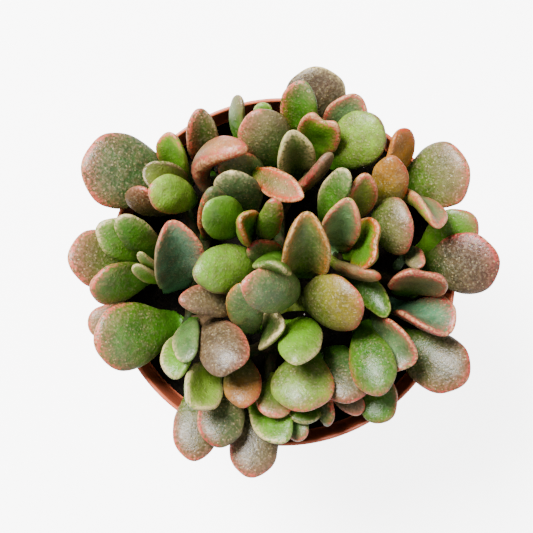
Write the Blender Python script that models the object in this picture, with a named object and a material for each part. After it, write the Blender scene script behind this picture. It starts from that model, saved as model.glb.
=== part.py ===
"""A potted jade plant: a round nursery pot with potting soil, branching stems and thick
curled leaves. Metres, +Z up, origin at the middle of the pot's foot.

All sizes below are millimetres and degrees. Heights in the plant tables are measured up
from the top of the pot's rim."""

import math

import bmesh
import bpy
import numpy as np

# ---- finishes: name, linear colour, roughness ----
TERRACOTTA = ("terracotta_plastic", (0.62, 0.22, 0.13), 0.45)
SOIL = ("potting_soil", (0.03, 0.022, 0.017), 0.95)
BARK = ("stem_bark", (0.22, 0.17, 0.09), 0.8)
LEAF_GREEN = ("leaf_skin", (0.2, 0.3, 0.1), 0.4)

# ---- pot ----
RIM_DIAMETER = 105.0
POT_HEIGHT = 92.0
FOOT_DIAMETER = 77.0
WALL = 1.2
COLLAR_HEIGHT = 14.0  # the straight band under the rim
COLLAR_STEP = 2.4  # how far the body is set in under the band
COLLAR_TAPER = 0.8  # how much the band's radius shrinks over its height
FLOOR_THICKNESS = 1.6
GROOVE_INNER = 20.0  # radii of the raised ring in the floor that holds the drain holes
GROOVE_OUTER = 32.0
GROOVE_RISE = 2.0
GROOVE_SLOPE = 1.0  # how far the ring's sides lean over its rise
EDGE_ROUNDING = 0.4  # chamfers at the rim and the band's lower edge
FOOT_CHAMFER = 0.6
DRAIN_HOLE_DIAMETER = 8.0
DRAIN_HOLES = 6
DRAIN_HOLE_SIDES = 12
DRILL_LENGTH = 20.0
POT_SIDES = 48

# ---- soil ----
SOIL_DEPTH_BELOW_RIM = 12.0
SOIL_CROWN = 1.5  # how much higher the soil stands in the middle
GAP = 0.3  # free space kept between neighbouring pieces

# ---- stems ----
STEM_DIAMETER = 4.4
BRANCH_DIAMETER = 3.2
STEM_SIDES = 8
STEM_PLACES = np.linspace(0, 1, 7)
STEM_LEAN = 1.6  # higher values keep a stem upright for longer
STEM_RISE = 0.9

# ---- leaves ----
LEAF_THICKNESS = 4.6
CURL_THINNING = 0.26  # how much thinner a leaf is that curls by 100 degrees or more
NECK_SHARE = 0.45  # width of a leaf's base, as a share of its widest place
WIDEST_PLACE = 0.58  # where along its length a leaf is widest
FOLD_SHARE = 0.4  # how much of a cupped leaf's curvature sits at its midrib
NECK_THICKNESS = 0.7  # thickness of a leaf's base, as a share of its thickest place
TIP_ROUNDING = 2.3  # higher values give a leaf a squarer end
TIP_BLUNTNESS = 2.8  # higher values keep a leaf thick nearer to its tip
FOLD_WIDTH = 0.22  # how far from the midrib that fold reaches, as a share of the half width
OPEN_AT_FOOT = 0.35  # the share of its cupping that a leaf has at its base
CROWN_APEX = 300.0  # leaves are drawn in toward a point this far above the rim
RING_PLACES = (0.0, 0.12, 0.28, 0.46, 0.64, 0.80, 0.92, 0.985)
RING_SIDES = 12
LENGTH_STEP = 0.02  # shares over which a leaf's slopes are measured
WIDTH_STEP = 0.05

# ---- settling ----
BEADS_ALONG = 9
BEADS_ACROSS = 7
EDGE_BEAD = 0.92  # how much thinner the beads get toward a leaf's margins
LEAST_BEAD = 0.5
SETTLING_STEPS = 180
HOMING = np.array([0.08, 0.08, 0.01])  # hold on a leaf's planned place: x, y and height
HOMING_PART = 0.7  # the part of the settling during which that hold fades out
LEAF_GAP = 0.55  # free space that settling keeps between two leaves
PUSH_GAIN = 1.4  # how far past its average push a bead moves
FOOT_HOLD = 3.0  # weight of the beads at a leaf's base against the others
BEND_KEPT = 0.9  # the part of a leaf's bending that one step keeps
STEPS_PER_SEARCH = 8  # steps between two searches for neighbouring beads
SEARCH_MARGIN = 2.0
SEARCH_BLOCK = 512


def leaf(foot, tip, width, turn=0, bend=15, cup=10, thick=None, room_only=False):
    """One leaf: foot and tip are (x, y, height over the rim). turn rolls it about its
    length, bend arches it and cup lifts its margins, in degrees. A leaf with room_only set
    keeps its neighbours clear of its place, but gets no solid."""
    if thick is None:
        thick = LEAF_THICKNESS * (1 - CURL_THINNING * min(abs(cup) / 100, 1))
    return dict(
        foot=foot, tip=tip, width=width, turn=turn,
        bend=bend, cup=cup, thick=thick, room_only=room_only,
    )


SHOOTS = {
    # name: (trunk, place of the shoot's end, leaves)
    "northwest": ("west", (-30, 24, -1), [
        leaf((-33, 28, -1.5), (-60.5, 32, 12.5), 23.5, bend=28, cup=-12),
        leaf((-29, 26.5, -1), (-32.5, 41.5, 18), 11.5, turn=-35, bend=30, cup=70),
        leaf((-28.5, 26, 1), (-41.5, 30, 18), 12, turn=15, bend=50, cup=110, room_only=True),
        leaf((-28, 22, 2), (-40.5, 25, 20.5), 12.5, bend=60, cup=-40),
        leaf((-31.5, 19.5, -1), (-45, 25.5, 14), 13, turn=-60, bend=60, cup=40, room_only=True),
    ]),
    "north_left": ("west", (-21, 29, 0), [
        leaf((-22.5, 31, -1), (-24.5, 47.5, 20.5), 12, turn=-25, bend=25, cup=105),
        leaf((-25, 25, 2.5), (-11, 36.5, 22), 10, turn=-80, bend=110, cup=30, thick=6),
    ]),
    "west": ("west", (-37, 2, -1), [
        leaf((-40, 3.5, -1.5), (-65, 4, 14), 18.5, turn=10, bend=25, cup=-10),
        leaf((-39, -0.5, 1), (-57.5, -4.5, 18), 15, turn=-35, bend=20, cup=10),
        leaf((-39, 4, -1), (-54.5, 14, 16.5), 13, turn=-15, bend=30, cup=50),
        leaf((-37, 6, 1), (-49, 17, 20.5), 10, turn=-25, bend=30, cup=40, room_only=True),
        leaf((-32, -4.5, 1), (-33.5, 15.5, 28.5), 21, turn=25, bend=25, cup=120),
        leaf((-35.5, -2.5, 1), (-44.5, 2, 19), 5.5, turn=-30, bend=30, cup=60, thick=2.6, room_only=True),
        leaf((-35.5, 0, 2.5), (-43.5, 5, 22), 4.5, turn=-20, bend=30, cup=60, thick=2.2, room_only=True),
    ]),
    "southwest": ("west", (-29, -17, 0), [
        leaf((-31, -16, 0), (-57, -21.5, 14), 21, bend=28, cup=-14),
        leaf((-35, -14, -2.5), (-58.5, -15.5, 7), 12, bend=25, cup=10, room_only=True),
        leaf((-27.5, -17, 1), (-31, -31, 19), 12, turn=30, bend=50, cup=80),
        leaf((-26.5, -15, 3), (-28, -27, 24.5), 9.5, turn=25, bend=50, cup=40, room_only=True),
    ]),
    "south_left": ("south", (-20, -28, 0), [
        leaf((-25, -33, -1.5), (-26.5, -57, 10), 14, bend=30, cup=-10),
        leaf((-20, -28, 2), (-27.5, -39.5, 23), 16, turn=-20, bend=-15, cup=80),
        leaf((-17.5, -32, 0), (-19, -53, 12.5), 14.5, bend=30, cup=-15),
        leaf((-12, -26, 2.5), (-11.5, -41, 18), 12, bend=55, cup=-30),
    ]),
    "south": ("south", (-4, -34, -2), [
        leaf((-7, -38, -3.5), (-9.5, -62, 6.5), 15, bend=25, cup=-10),
        leaf((-9, -38, 0), (2, -50.5, 15), 12.5, turn=-15, bend=-15, cup=60),
        leaf((-1.5, -32, -1.5), (-3, -43.5, 15), 12.5, bend=30, cup=20, room_only=True),
        leaf((0, -38, -3.5), (7, -50, 10), 9, turn=20, bend=25, cup=40, room_only=True),
    ]),
    "south_right": ("south", (10, -28, 2), [
        leaf((8, -25, 5), (5, -42, 20.5), 20, bend=65, cup=-35),
        leaf((6, -32, -1.5), (6.5, -46, 12.5), 13, bend=-15, cup=55, room_only=True),
        leaf((16, -23.5, 1), (20.5, -39, 16.5), 17.5, turn=-10, bend=50, cup=-25),
        leaf((10, -30.5, 0), (14, -46, 12.5), 9, turn=40, bend=30, cup=20, room_only=True),
        leaf((13, -32, -2.5), (24.5, -42, 8.5), 7.5, turn=10, bend=30, cup=20, room_only=True),
    ]),
    "southeast": ("east", (29, -17, 1), [
        leaf((25.5, -17.5, 4), (29.5, -36.5, 20.5), 15, turn=12, bend=60, cup=-40),
        leaf((26.5, -27.5, -2), (29.5, -45.5, 8.5), 12.5, bend=30, cup=10, room_only=True),
        leaf((34, -19.5, -2), (56, -32.5, 11), 18, bend=25, cup=-12),
        leaf((27, -15, 2.5), (40.5, -26.5, 19), 17.5, turn=30, bend=30, cup=100),
    ]),
    "east": ("east", (40, -4, -1), [
        leaf((42, 0.8, -1), (65.5, 4.3, 14), 19.5, bend=28, cup=-12),
        leaf((37.5, -7, -1), (44, 1.5, 26), 20, bend=-10, cup=80),
        leaf((35, -10.5, -1), (50.5, -18, 17), 18.5, turn=-35, bend=25, cup=110),
        leaf((42, 5.5, -2), (58, 17, 11), 14.5, bend=30, cup=15),
        leaf((38.5, 6.5, -1.5), (42, 0.5, 18), 6.5, turn=30, bend=30, cup=60, room_only=True),
    ]),
    "northeast": ("east", (33, 20, 1), [
        leaf((36, 26, -1.5), (56.5, 31, 14), 20.5, bend=25, cup=-10),
        leaf((36, 24, 1), (46.5, 13, 22), 13, turn=-40, bend=30, cup=90),
        leaf((31.5, 18.5, 3), (33, 33.5, 23), 12, turn=10, bend=55, cup=-40),
        leaf((31, 25, -1.5), (35.5, 43, 16.5), 13, turn=50, bend=25, cup=60, room_only=True),
        leaf((28, 15, 5), (39.5, 15, 22), 19, bend=70, cup=-45),
    ]),
    "north": ("north", (11, 37, -1), [
        leaf((10.5, 40, -2.5), (10, 62, 11), 18.5, bend=25, cup=-8),
        leaf((6, 39.5, -1), (6.5, 57, 19), 13, turn=-30, bend=25, cup=60),
        leaf((9.5, 35, 0.5), (13.5, 48, 23), 15.5, bend=-10, cup=85),
        leaf((13, 37, -2), (23, 53.5, 18), 15, turn=20, bend=20, cup=70),
        leaf((15.5, 32.5, 2.5), (29.5, 46.5, 19), 17, bend=60, cup=-30),
    ]),
    "north_middle": ("north", (-2, 30, 2), [
        leaf((-1.5, 30.5, 2), (-8.5, 49.5, 19), 16.5, bend=60, cup=-35),
        leaf((-9.6, 29.8, 6), (5.4, 21.9, 31), 9.5, turn=10, bend=25, cup=50, thick=3.2),
        leaf((3, 28.5, 1), (3, 42.5, 26), 15, turn=15, bend=20, cup=110),
        leaf((3, 24, 4.5), (14, 35.5, 26), 9, turn=85, bend=25, cup=20, thick=4, room_only=True),
        leaf((-4.5, 36.5, -2), (-6, 51, 14), 7.5, bend=30, cup=30, room_only=True),
        leaf((-8.5, 34.5, 0), (-12.5, 53, 16.5), 9, turn=-70, bend=55, cup=20, room_only=True),
    ]),
    "inner_northwest": ("north", (-14, 13, 6), [
        leaf((-9.5, 17.5, 3), (-14.5, 31, 26), 15, turn=-15, bend=30, cup=-20),
        leaf((-22.5, 11, 3), (-21, 25.5, 27.5), 11, turn=40, bend=30, cup=30),
        leaf((-13.5, 12.5, 7.5), (-21, 20, 31.5), 14, bend=65, cup=-40),
        leaf((-9, 10, 7.5), (-13, 16, 35.5), 13, turn=30, bend=-10, cup=110),
        leaf((-6, 11.5, 7), (-2, 22, 34), 8, turn=20, bend=55, cup=20, room_only=True),
    ]),
    "centre": ("north", (-1, 1, 8), [
        leaf((2.5, -5, 9.5), (-12.8, -2, 38), 16, turn=15, bend=75, cup=-45),
        leaf((-7.5, 4, 7.5), (-27, -1, 28.5), 15.5, turn=-10, bend=70, cup=-40),
        leaf((-1.5, 6.5, 10.5), (-3, 2, 39.5), 13, bend=-30, cup=-70, room_only=True),
        leaf((4.5, -1.5, 7), (6.5, 17.5, 38), 23, turn=15, bend=30, cup=150),
    ]),
    "inner_east": ("east", (15, 6, 4), [
        leaf((18, 7, 4), (31, 7.5, 30), 18.5, bend=-10, cup=75),
        leaf((18.5, 8.5, 5), (19.5, 22, 32.5), 15, turn=-20, bend=20, cup=115),
        leaf((20, 15, 2.5), (25, 29.5, 26), 12, turn=25, bend=20, cup=90),
        leaf((12.5, 14.5, 5), (20, 30.5, 30), 10, turn=-30, bend=30, cup=40, room_only=True),
        leaf((15.5, 3.5, 4), (28.5, 0, 26), 9, turn=80, bend=20, cup=20, room_only=True),
        leaf((20, 0, 1), (27, -14, 19), 9, bend=30, cup=20, room_only=True),
    ]),
    "inner_south": ("south", (-2, -14, 6), [
        leaf((6, -11.5, 7), (23.5, -9, 27.5), 20, bend=70, cup=-40),
        leaf((8, -12, 6), (4, -27.5, 31.5), 14.5, turn=20, bend=65, cup=-45),
        leaf((-6, -20.7, 4), (2.3, -16.2, 25.5), 14, turn=-40, bend=20, cup=75, thick=3.3),
        leaf((-9.4, -17.6, 4.5), (-13.5, -3.8, 32), 12, turn=-25, bend=50, cup=-20),
        leaf((-20, -13.7, 8), (-13, -30, 28), 16.5, bend=70, cup=-40),
        leaf((-12.5, -12, 4.5), (-30.5, -9, 26), 10.5, turn=15, bend=55, cup=-20),
    ]),
}

TRUNKS = {
    # name: the place on the soil where the trunk comes out
    "west": (-24, 3),
    "south": (-3, -22),
    "east": (24, 0),
    "north": (-1, 18),
}


# ---- pot and soil ----
def turned(profile, sides):
    """A closed solid of revolution. The profile runs from the axis at the bottom, round
    the outside and back to the axis; its first and last points have radius 0."""
    mesh = bmesh.new()
    rings = []
    for radius, height in profile:
        if radius == 0:
            rings.append([mesh.verts.new((0, 0, height / 1000))])
            continue
        ring = []
        for k in range(sides):
            angle = 2 * math.pi * k / sides
            place = (radius * math.cos(angle), radius * math.sin(angle), height)
            ring.append(mesh.verts.new([size / 1000 for size in place]))
        rings.append(ring)
    for lower, upper in zip(rings, rings[1:]):
        for k in range(sides):
            after = (k + 1) % sides
            if len(lower) == 1:
                mesh.faces.new((lower[0], upper[after], upper[k]))
            elif len(upper) == 1:
                mesh.faces.new((lower[k], lower[after], upper[0]))
            else:
                mesh.faces.new((lower[k], lower[after], upper[after], upper[k]))
    return mesh


def outer_radius(height):
    """The outside of the pot's body under the band."""
    body_top = POT_HEIGHT - COLLAR_HEIGHT
    top_radius = RIM_DIAMETER / 2 - COLLAR_TAPER - COLLAR_STEP
    return FOOT_DIAMETER / 2 + (top_radius - FOOT_DIAMETER / 2) * height / body_top


def make_pot():
    body_top = POT_HEIGHT - COLLAR_HEIGHT
    rim = RIM_DIAMETER / 2
    band_foot = rim - COLLAR_TAPER
    profile = [
        (0, 0),
        (GROOVE_INNER, 0),
        (GROOVE_INNER + GROOVE_SLOPE, GROOVE_RISE),
        (GROOVE_OUTER - GROOVE_SLOPE, GROOVE_RISE),
        (GROOVE_OUTER, 0),
        (FOOT_DIAMETER / 2 - FOOT_CHAMFER, 0),
        (FOOT_DIAMETER / 2, FOOT_CHAMFER),
        (outer_radius(body_top - FOOT_CHAMFER), body_top - FOOT_CHAMFER),
        (band_foot - EDGE_ROUNDING, body_top),
        (band_foot, body_top + EDGE_ROUNDING),
        (rim, POT_HEIGHT - EDGE_ROUNDING),
        (rim - EDGE_ROUNDING, POT_HEIGHT),
        (rim - WALL + EDGE_ROUNDING, POT_HEIGHT),
        (rim - WALL, POT_HEIGHT - EDGE_ROUNDING),
        (band_foot - WALL, body_top + WALL + EDGE_ROUNDING),
        (outer_radius(body_top) - WALL, body_top + WALL),
        (outer_radius(0) - WALL, FLOOR_THICKNESS + FOOT_CHAMFER),
        (outer_radius(0) - WALL - FOOT_CHAMFER, FLOOR_THICKNESS),
        (GROOVE_OUTER + 0.8 * GROOVE_SLOPE, FLOOR_THICKNESS),
        (GROOVE_OUTER - 0.2 * GROOVE_SLOPE, FLOOR_THICKNESS + GROOVE_RISE),
        (GROOVE_INNER + 0.2 * GROOVE_SLOPE, FLOOR_THICKNESS + GROOVE_RISE),
        (GROOVE_INNER - 0.8 * GROOVE_SLOPE, FLOOR_THICKNESS),
        (0, FLOOR_THICKNESS),
    ]
    pot = make_object("pot", turned(profile, POT_SIDES), TERRACOTTA)
    middle = (GROOVE_INNER + GROOVE_OUTER) / 2
    for k in range(DRAIN_HOLES):
        angle = 2 * math.pi * k / DRAIN_HOLES + math.pi / POT_SIDES
        drill = bmesh.new()
        bmesh.ops.create_cone(
            drill, cap_ends=True, segments=DRAIN_HOLE_SIDES, depth=DRILL_LENGTH / 1000,
            radius1=DRAIN_HOLE_DIAMETER / 2000, radius2=DRAIN_HOLE_DIAMETER / 2000,
        )
        cutter = make_object(f"cutter_{k}", drill, TERRACOTTA)
        cutter.location.x = middle * math.cos(angle) / 1000
        cutter.location.y = middle * math.sin(angle) / 1000
        cutter.hide_render = True
        cutter.display_type = "WIRE"
        cut = pot.modifiers.new(f"drain_{k}", "BOOLEAN")
        cut.operation = "DIFFERENCE"
        cut.object = cutter


def soil_height(radius):
    """Height of the soil's surface over the pot's foot."""
    edge = soil_edge_radius()
    return POT_HEIGHT - SOIL_DEPTH_BELOW_RIM + SOIL_CROWN * (1 - (radius / edge) ** 2)


def soil_edge_radius():
    return RIM_DIAMETER / 2 - COLLAR_TAPER - WALL - 2 * GAP


def make_soil():
    body_top = POT_HEIGHT - COLLAR_HEIGHT
    floor = FLOOR_THICKNESS + GAP
    inner = outer_radius(0) - WALL - GAP
    surface = []
    for share in (1, 0.75, 0.5, 0.25, 0):
        radius = share * soil_edge_radius()
        surface.append((radius, soil_height(radius)))
    profile = [
        (0, floor),
        (GROOVE_INNER - GROOVE_SLOPE - GAP, floor),
        (GROOVE_INNER - GAP, floor + GROOVE_RISE),
        (GROOVE_OUTER + GAP, floor + GROOVE_RISE),
        (GROOVE_OUTER + GROOVE_SLOPE + GAP, floor),
        (inner - 2 * FOOT_CHAMFER, floor),
        (inner - GAP, floor + 2 * FOOT_CHAMFER),
        (outer_radius(body_top) - WALL - 1.5 * GAP, body_top + WALL),
        (outer_radius(body_top) - WALL - GAP, body_top + WALL + 2 * GAP),
        *surface,
    ]
    make_object("soil", turned(profile, POT_SIDES), SOIL)


# ---- leaf shape ----
def ease(x):
    x = np.clip(x, 0, 1)
    return x * x * (3 - 2 * x)


def half_width(along, width):
    """Half the width of a leaf at a share of its length: a narrow neck, then a round end."""
    rise = NECK_SHARE + (1 - NECK_SHARE) * ease(along / WIDEST_PLACE)
    past = np.clip((along - WIDEST_PLACE) / (1 - WIDEST_PLACE), 0, 1)
    return width / 2 * np.where(along < WIDEST_PLACE, rise, np.sqrt(1 - past**TIP_ROUNDING))


def half_thickness(along, thick):
    """Half the thickness at the midrib: it grows over the first third of the length."""
    body = NECK_THICKNESS + (1 - NECK_THICKNESS) * ease(3 * along)
    past = np.clip(2 * along - 1, 0, 1)
    return thick / 2 * body * np.sqrt(np.clip(1 - past**TIP_BLUNTNESS, 0, 1))


def drawn_in(point):
    """The place in the pot's frame of a point given by its height over the rim."""
    share = 1 - point[2] / CROWN_APEX
    return np.array([point[0] * share, point[1] * share, point[2] + POT_HEIGHT])


def leaf_axes(foot, tip, turn):
    """Unit vectors along the leaf, out of its upper face and toward its right margin."""
    along = (tip - foot) / np.linalg.norm(tip - foot)
    right = np.cross(along, (0, 0, 1))
    right /= np.linalg.norm(right)
    up = np.cross(right, along)
    roll = math.radians(turn)
    rolled_up = up * math.cos(roll) + right * math.sin(roll)
    rolled_right = right * math.cos(roll) - up * math.sin(roll)
    return along, rolled_up, rolled_right


def summed(slope):
    """The curve that starts at (0, 0) and follows these slopes in equal steps."""
    steps = np.stack([np.cos(slope), np.sin(slope)])
    middles = (steps[:, 1:] + steps[:, :-1]) / 2
    return np.concatenate([np.zeros((2, 1)), np.cumsum(middles, axis=1)], axis=1)


def arched_line(bend, length):
    """The leaf's midrib in its own plane: places along, places up and slopes."""
    share = np.linspace(0, 1, 41)
    slope = -math.radians(bend) * (share - 0.5)
    line = summed(slope)
    return share, line * length / line[0, -1], slope


def cross_section(cup):
    """The curve across a leaf, for half width 1: places right and places up."""
    across = np.linspace(-1, 1, 61)
    folded = np.sign(across) * (1 - np.exp(-np.abs(across) / FOLD_WIDTH))
    slope = math.radians(cup) / 2 * ((1 - FOLD_SHARE) * across + FOLD_SHARE * folded)
    curve = summed(slope) * (across[1] - across[0])
    midrib = len(across) // 2
    return across, curve - curve[:, midrib:midrib + 1]


def leaf_sheet(plan, places_along, places_across):
    """Points of a leaf's middle surface, on a grid of shares along and across it."""
    foot = drawn_in(plan["foot"])
    tip = drawn_in(plan["tip"])
    along, up, right = leaf_axes(foot, tip, plan["turn"])
    width = plan["width"] * (1 - plan["tip"][2] / CROWN_APEX)
    share, line, slope = arched_line(plan["bend"], np.linalg.norm(tip - foot))
    points = np.zeros((len(places_along), len(places_across), 3))
    for i, place in enumerate(places_along):
        tilt = np.interp(place, share, slope)
        up_here = up * math.cos(tilt) - along * math.sin(tilt)
        middle = foot + along * np.interp(place, share, line[0])
        middle = middle + up * np.interp(place, share, line[1])
        opening = OPEN_AT_FOOT + (1 - OPEN_AT_FOOT) * ease(2.2 * place)
        opening = opening * min(1, 3 * half_width(place, width) / width)
        across, curve = cross_section(plan["cup"] * opening)
        reach = half_width(place, width)
        for j, side in enumerate(places_across):
            sideways = np.interp(side, across, curve[0]) * reach
            lifted = np.interp(side, across, curve[1]) * reach
            points[i, j] = middle + right * sideways + up_here * lifted
    return points


# ---- settling: leaves make room for each other, as they do while they grow ----
BEAD_ALONG = np.linspace(0, 1, BEADS_ALONG)
BEAD_ACROSS = np.linspace(-1, 1, BEADS_ACROSS)


def bending_modes():
    """The projection of a field on a leaf's beads onto smooth, quadratic bending."""
    s, t = np.meshgrid(BEAD_ALONG * 2 - 1, BEAD_ACROSS, indexing="ij")
    s, t = s.ravel(), t.ravel()
    basis = np.stack([np.ones_like(s), s, t, s * s, s * t, t * t], axis=1)
    return basis @ np.linalg.pinv(basis)


def rigid_fit(rest, moved, weight):
    """Each leaf's rest shape, turned and shifted to lie as close to its moved beads as it can."""
    total = weight.sum()
    rest_middle = (rest * weight[:, None]).sum(axis=1, keepdims=True) / total
    moved_middle = (moved * weight[:, None]).sum(axis=1, keepdims=True) / total
    spread = np.einsum("nbi,nbj->nij", (moved - moved_middle) * weight[:, None], rest - rest_middle)
    left, _, right = np.linalg.svd(spread)
    handed = np.sign(np.linalg.det(left @ right))
    left[:, :, 2] *= handed[:, None]
    turned_by = left @ right
    return np.einsum("nij,nbj->nbi", turned_by, rest - rest_middle) + moved_middle


def push_from_pot(points, radii):
    """Keeps beads out of the rim and above the soil."""
    out = points.copy()
    reach = np.hypot(points[..., 0], points[..., 1])
    wall_middle = RIM_DIAMETER / 2 - WALL / 2
    nearest_height = np.minimum(points[..., 2], POT_HEIGHT - WALL / 2)
    sideways = reach - wall_middle
    upward = points[..., 2] - nearest_height
    distance = np.maximum(np.hypot(sideways, upward), 1e-6)
    short = np.clip(radii + WALL / 2 + LEAF_GAP - distance, 0, None)
    scale = short * sideways / distance / np.maximum(reach, 1e-6)
    out[..., 0] += points[..., 0] * scale
    out[..., 1] += points[..., 1] * scale
    out[..., 2] += short * np.where(upward > 0, upward / distance, 0.0)
    lowest = POT_HEIGHT - SOIL_DEPTH_BELOW_RIM + SOIL_CROWN + radii + LEAF_GAP
    inside = reach < wall_middle
    out[..., 2] = np.where(inside, np.maximum(out[..., 2], lowest), out[..., 2])
    return out


def settled(plans, stem_points, stem_radii):
    """The leaves' bead grids after they have pushed each other and the stems clear."""
    sheets = [leaf_sheet(plan, BEAD_ALONG, BEAD_ACROSS) for plan in plans]
    rest = np.array([sheet.reshape(-1, 3) for sheet in sheets])
    count, beads, _ = rest.shape
    roundness = np.sqrt(1 - EDGE_BEAD * BEAD_ACROSS**2)
    along_radii = [half_thickness(BEAD_ALONG, plan["thick"]) for plan in plans]
    radii = np.array([np.outer(along, roundness).ravel() for along in along_radii])
    radii = np.maximum(radii, LEAST_BEAD)
    weight = np.where(np.repeat(BEAD_ALONG, BEADS_ACROSS) == 0, FOOT_HOLD, 1.0)
    owner = np.repeat(np.arange(count), beads)
    size = radii.ravel()
    modes = bending_modes()
    place = rest.copy()
    pairs = None
    for step in range(SETTLING_STEPS):
        flat = place.reshape(-1, 3)
        if step % STEPS_PER_SEARCH == 0:
            pairs = near_pairs(flat, size, owner)
        first, second = pairs
        apart = flat[first] - flat[second]
        distance = np.maximum(np.linalg.norm(apart, axis=1), 1e-6)
        short = np.clip(size[first] + size[second] + LEAF_GAP - distance, 0, None)
        push = apart / distance[:, None] * short[:, None] / 2
        total = np.zeros_like(flat)
        hits = np.zeros(len(flat))
        for side, sign in ((first, 1), (second, -1)):
            for axis in range(3):
                total[:, axis] += sign * np.bincount(side, push[:, axis], len(flat))
            hits += np.bincount(side, short > 0, len(flat))
        flat = flat + total / np.maximum(hits, 1)[:, None] * PUSH_GAIN
        stem_apart = flat[:, None] - stem_points[None]
        stem_distance = np.maximum(np.linalg.norm(stem_apart, axis=2), 1e-6)
        stem_reach = size[:, None] + stem_radii[None] + LEAF_GAP
        stem_short = np.clip(stem_reach - stem_distance, 0, None)
        worst = stem_short.argmax(axis=1)
        rows = np.arange(len(flat))
        direction = stem_apart[rows, worst] / stem_distance[rows, worst, None]
        flat = flat + direction * stem_short[rows, worst, None]
        moved = push_from_pot(flat.reshape(place.shape), radii)
        stiff = rigid_fit(rest, moved, weight)
        bent = np.einsum("ab,nbi->nai", modes, moved - stiff)
        place = stiff + BEND_KEPT * bent
        homing = HOMING * max(0.0, 1 - step / (HOMING_PART * SETTLING_STEPS))
        place = np.round(place + homing * (rest - place), 6)
    return place.reshape(count, BEADS_ALONG, BEADS_ACROSS, 3)


def near_pairs(points, size, owner):
    """Pairs of beads of different leaves that are close enough to meet soon."""
    firsts, seconds = [], []
    reach = size.max() * 2 + LEAF_GAP + SEARCH_MARGIN
    for start in range(0, len(points), SEARCH_BLOCK):
        block = points[start:start + SEARCH_BLOCK]
        distance = np.linalg.norm(block[:, None] - points[None], axis=2)
        i, j = np.nonzero(distance < reach)
        i += start
        keep = (i < j) & (owner[i] != owner[j])
        firsts.append(i[keep])
        seconds.append(j[keep])
    return np.concatenate(firsts), np.concatenate(seconds)


def curve_through(values, wanted):
    """A smooth curve through evenly spaced values, read at wanted shares of its length."""
    last = len(values) - 1
    at = np.clip(np.asarray(wanted) * last, 0, last - 1e-9)
    whole = at.astype(int)
    part = (at - whole).reshape((-1,) + (1,) * (values.ndim - 1))
    padded = np.concatenate([[2 * values[0] - values[1]], values, [2 * values[-1] - values[-2]]])
    a, b, c, d = (padded[whole + k] for k in range(4))
    squared = 2 * a - 5 * b + 4 * c - d
    cubed = 3 * (b - c) + d - a
    return b + part / 2 * (c - a + part * (squared + part * cubed))


def sheet_at(beads, along, across):
    """Points of a settled leaf's middle surface on a grid of along and across places."""
    lengthwise = curve_through(beads, along)
    both = curve_through(lengthwise.transpose(1, 0, 2), (np.asarray(across) + 1) / 2)
    return both.transpose(1, 0, 2)


def leaf_solid(beads, thick):
    """A leaf as rings round its middle surface, closed by a point at each end."""
    angles = 2 * np.pi * np.arange(RING_SIDES) / RING_SIDES
    across = np.cos(angles)
    rings = np.array(RING_PLACES)
    middle = sheet_at(beads, rings, across)
    ahead = sheet_at(beads, rings + LENGTH_STEP, across)
    behind = sheet_at(beads, rings - LENGTH_STEP, across)
    rightward = sheet_at(beads, rings, across + WIDTH_STEP)
    leftward = sheet_at(beads, rings, across - WIDTH_STEP)
    up = np.cross(rightward - leftward, ahead - behind)
    up /= np.linalg.norm(up, axis=2, keepdims=True)
    lift = half_thickness(rings, thick)[:, None] * np.sin(angles)[None]
    shell = middle + up * lift[..., None]
    ends = sheet_at(beads, (0.0, 1.0), (0.0,))[:, 0]
    mesh = bmesh.new()
    grid = [[mesh.verts.new(point / 1000) for point in ring] for ring in shell]
    foot, tip = (mesh.verts.new(point / 1000) for point in ends)
    for k in range(RING_SIDES):
        after = (k + 1) % RING_SIDES
        mesh.faces.new((foot, grid[0][k], grid[0][after]))
        mesh.faces.new((tip, grid[-1][after], grid[-1][k]))
        for lower, upper in zip(grid, grid[1:]):
            mesh.faces.new((lower[k], upper[k], upper[after], lower[after]))
    return mesh


# ---- stems ----

def stem_line(trunk, end):
    """Points up a stem, from the soil at its trunk to the end of one shoot."""
    top = drawn_in(end)
    foot = np.array([*trunk, soil_height(math.hypot(*trunk)) + GAP])
    share = STEM_PLACES[:, None]
    lean = np.array([top[0] - foot[0], top[1] - foot[1], 0.0])
    rise = np.array([0, 0, top[2] - foot[2]])
    return foot + lean * share**STEM_LEAN + rise * share**STEM_RISE


def stem_radius(share):
    return (STEM_DIAMETER + (BRANCH_DIAMETER - STEM_DIAMETER) * share) / 2


def stem_tube(points):
    """A tapering tube with flat ends along a line of points."""
    mesh = bmesh.new()
    rings = []
    for k, point in enumerate(points):
        ahead = points[min(k + 1, len(points) - 1)] - points[max(k - 1, 0)]
        if k == 0:
            ahead = np.array([0, 0, 1.0])
        ahead = ahead / np.linalg.norm(ahead)
        side = np.cross(ahead, (0.3, 1, 0))
        side /= np.linalg.norm(side)
        other = np.cross(ahead, side)
        ring = []
        for n in range(STEM_SIDES):
            angle = 2 * math.pi * n / STEM_SIDES
            out = side * math.cos(angle) + other * math.sin(angle)
            ring.append(mesh.verts.new((point + out * stem_radius(STEM_PLACES[k])) / 1000))
        rings.append(ring)
    for lower, upper in zip(rings, rings[1:]):
        for n in range(STEM_SIDES):
            after = (n + 1) % STEM_SIDES
            mesh.faces.new((lower[n], lower[after], upper[after], upper[n]))
    mesh.faces.new(rings[0][::-1])
    mesh.faces.new(rings[-1])
    bmesh.ops.recalc_face_normals(mesh, faces=mesh.faces)
    return mesh


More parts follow.
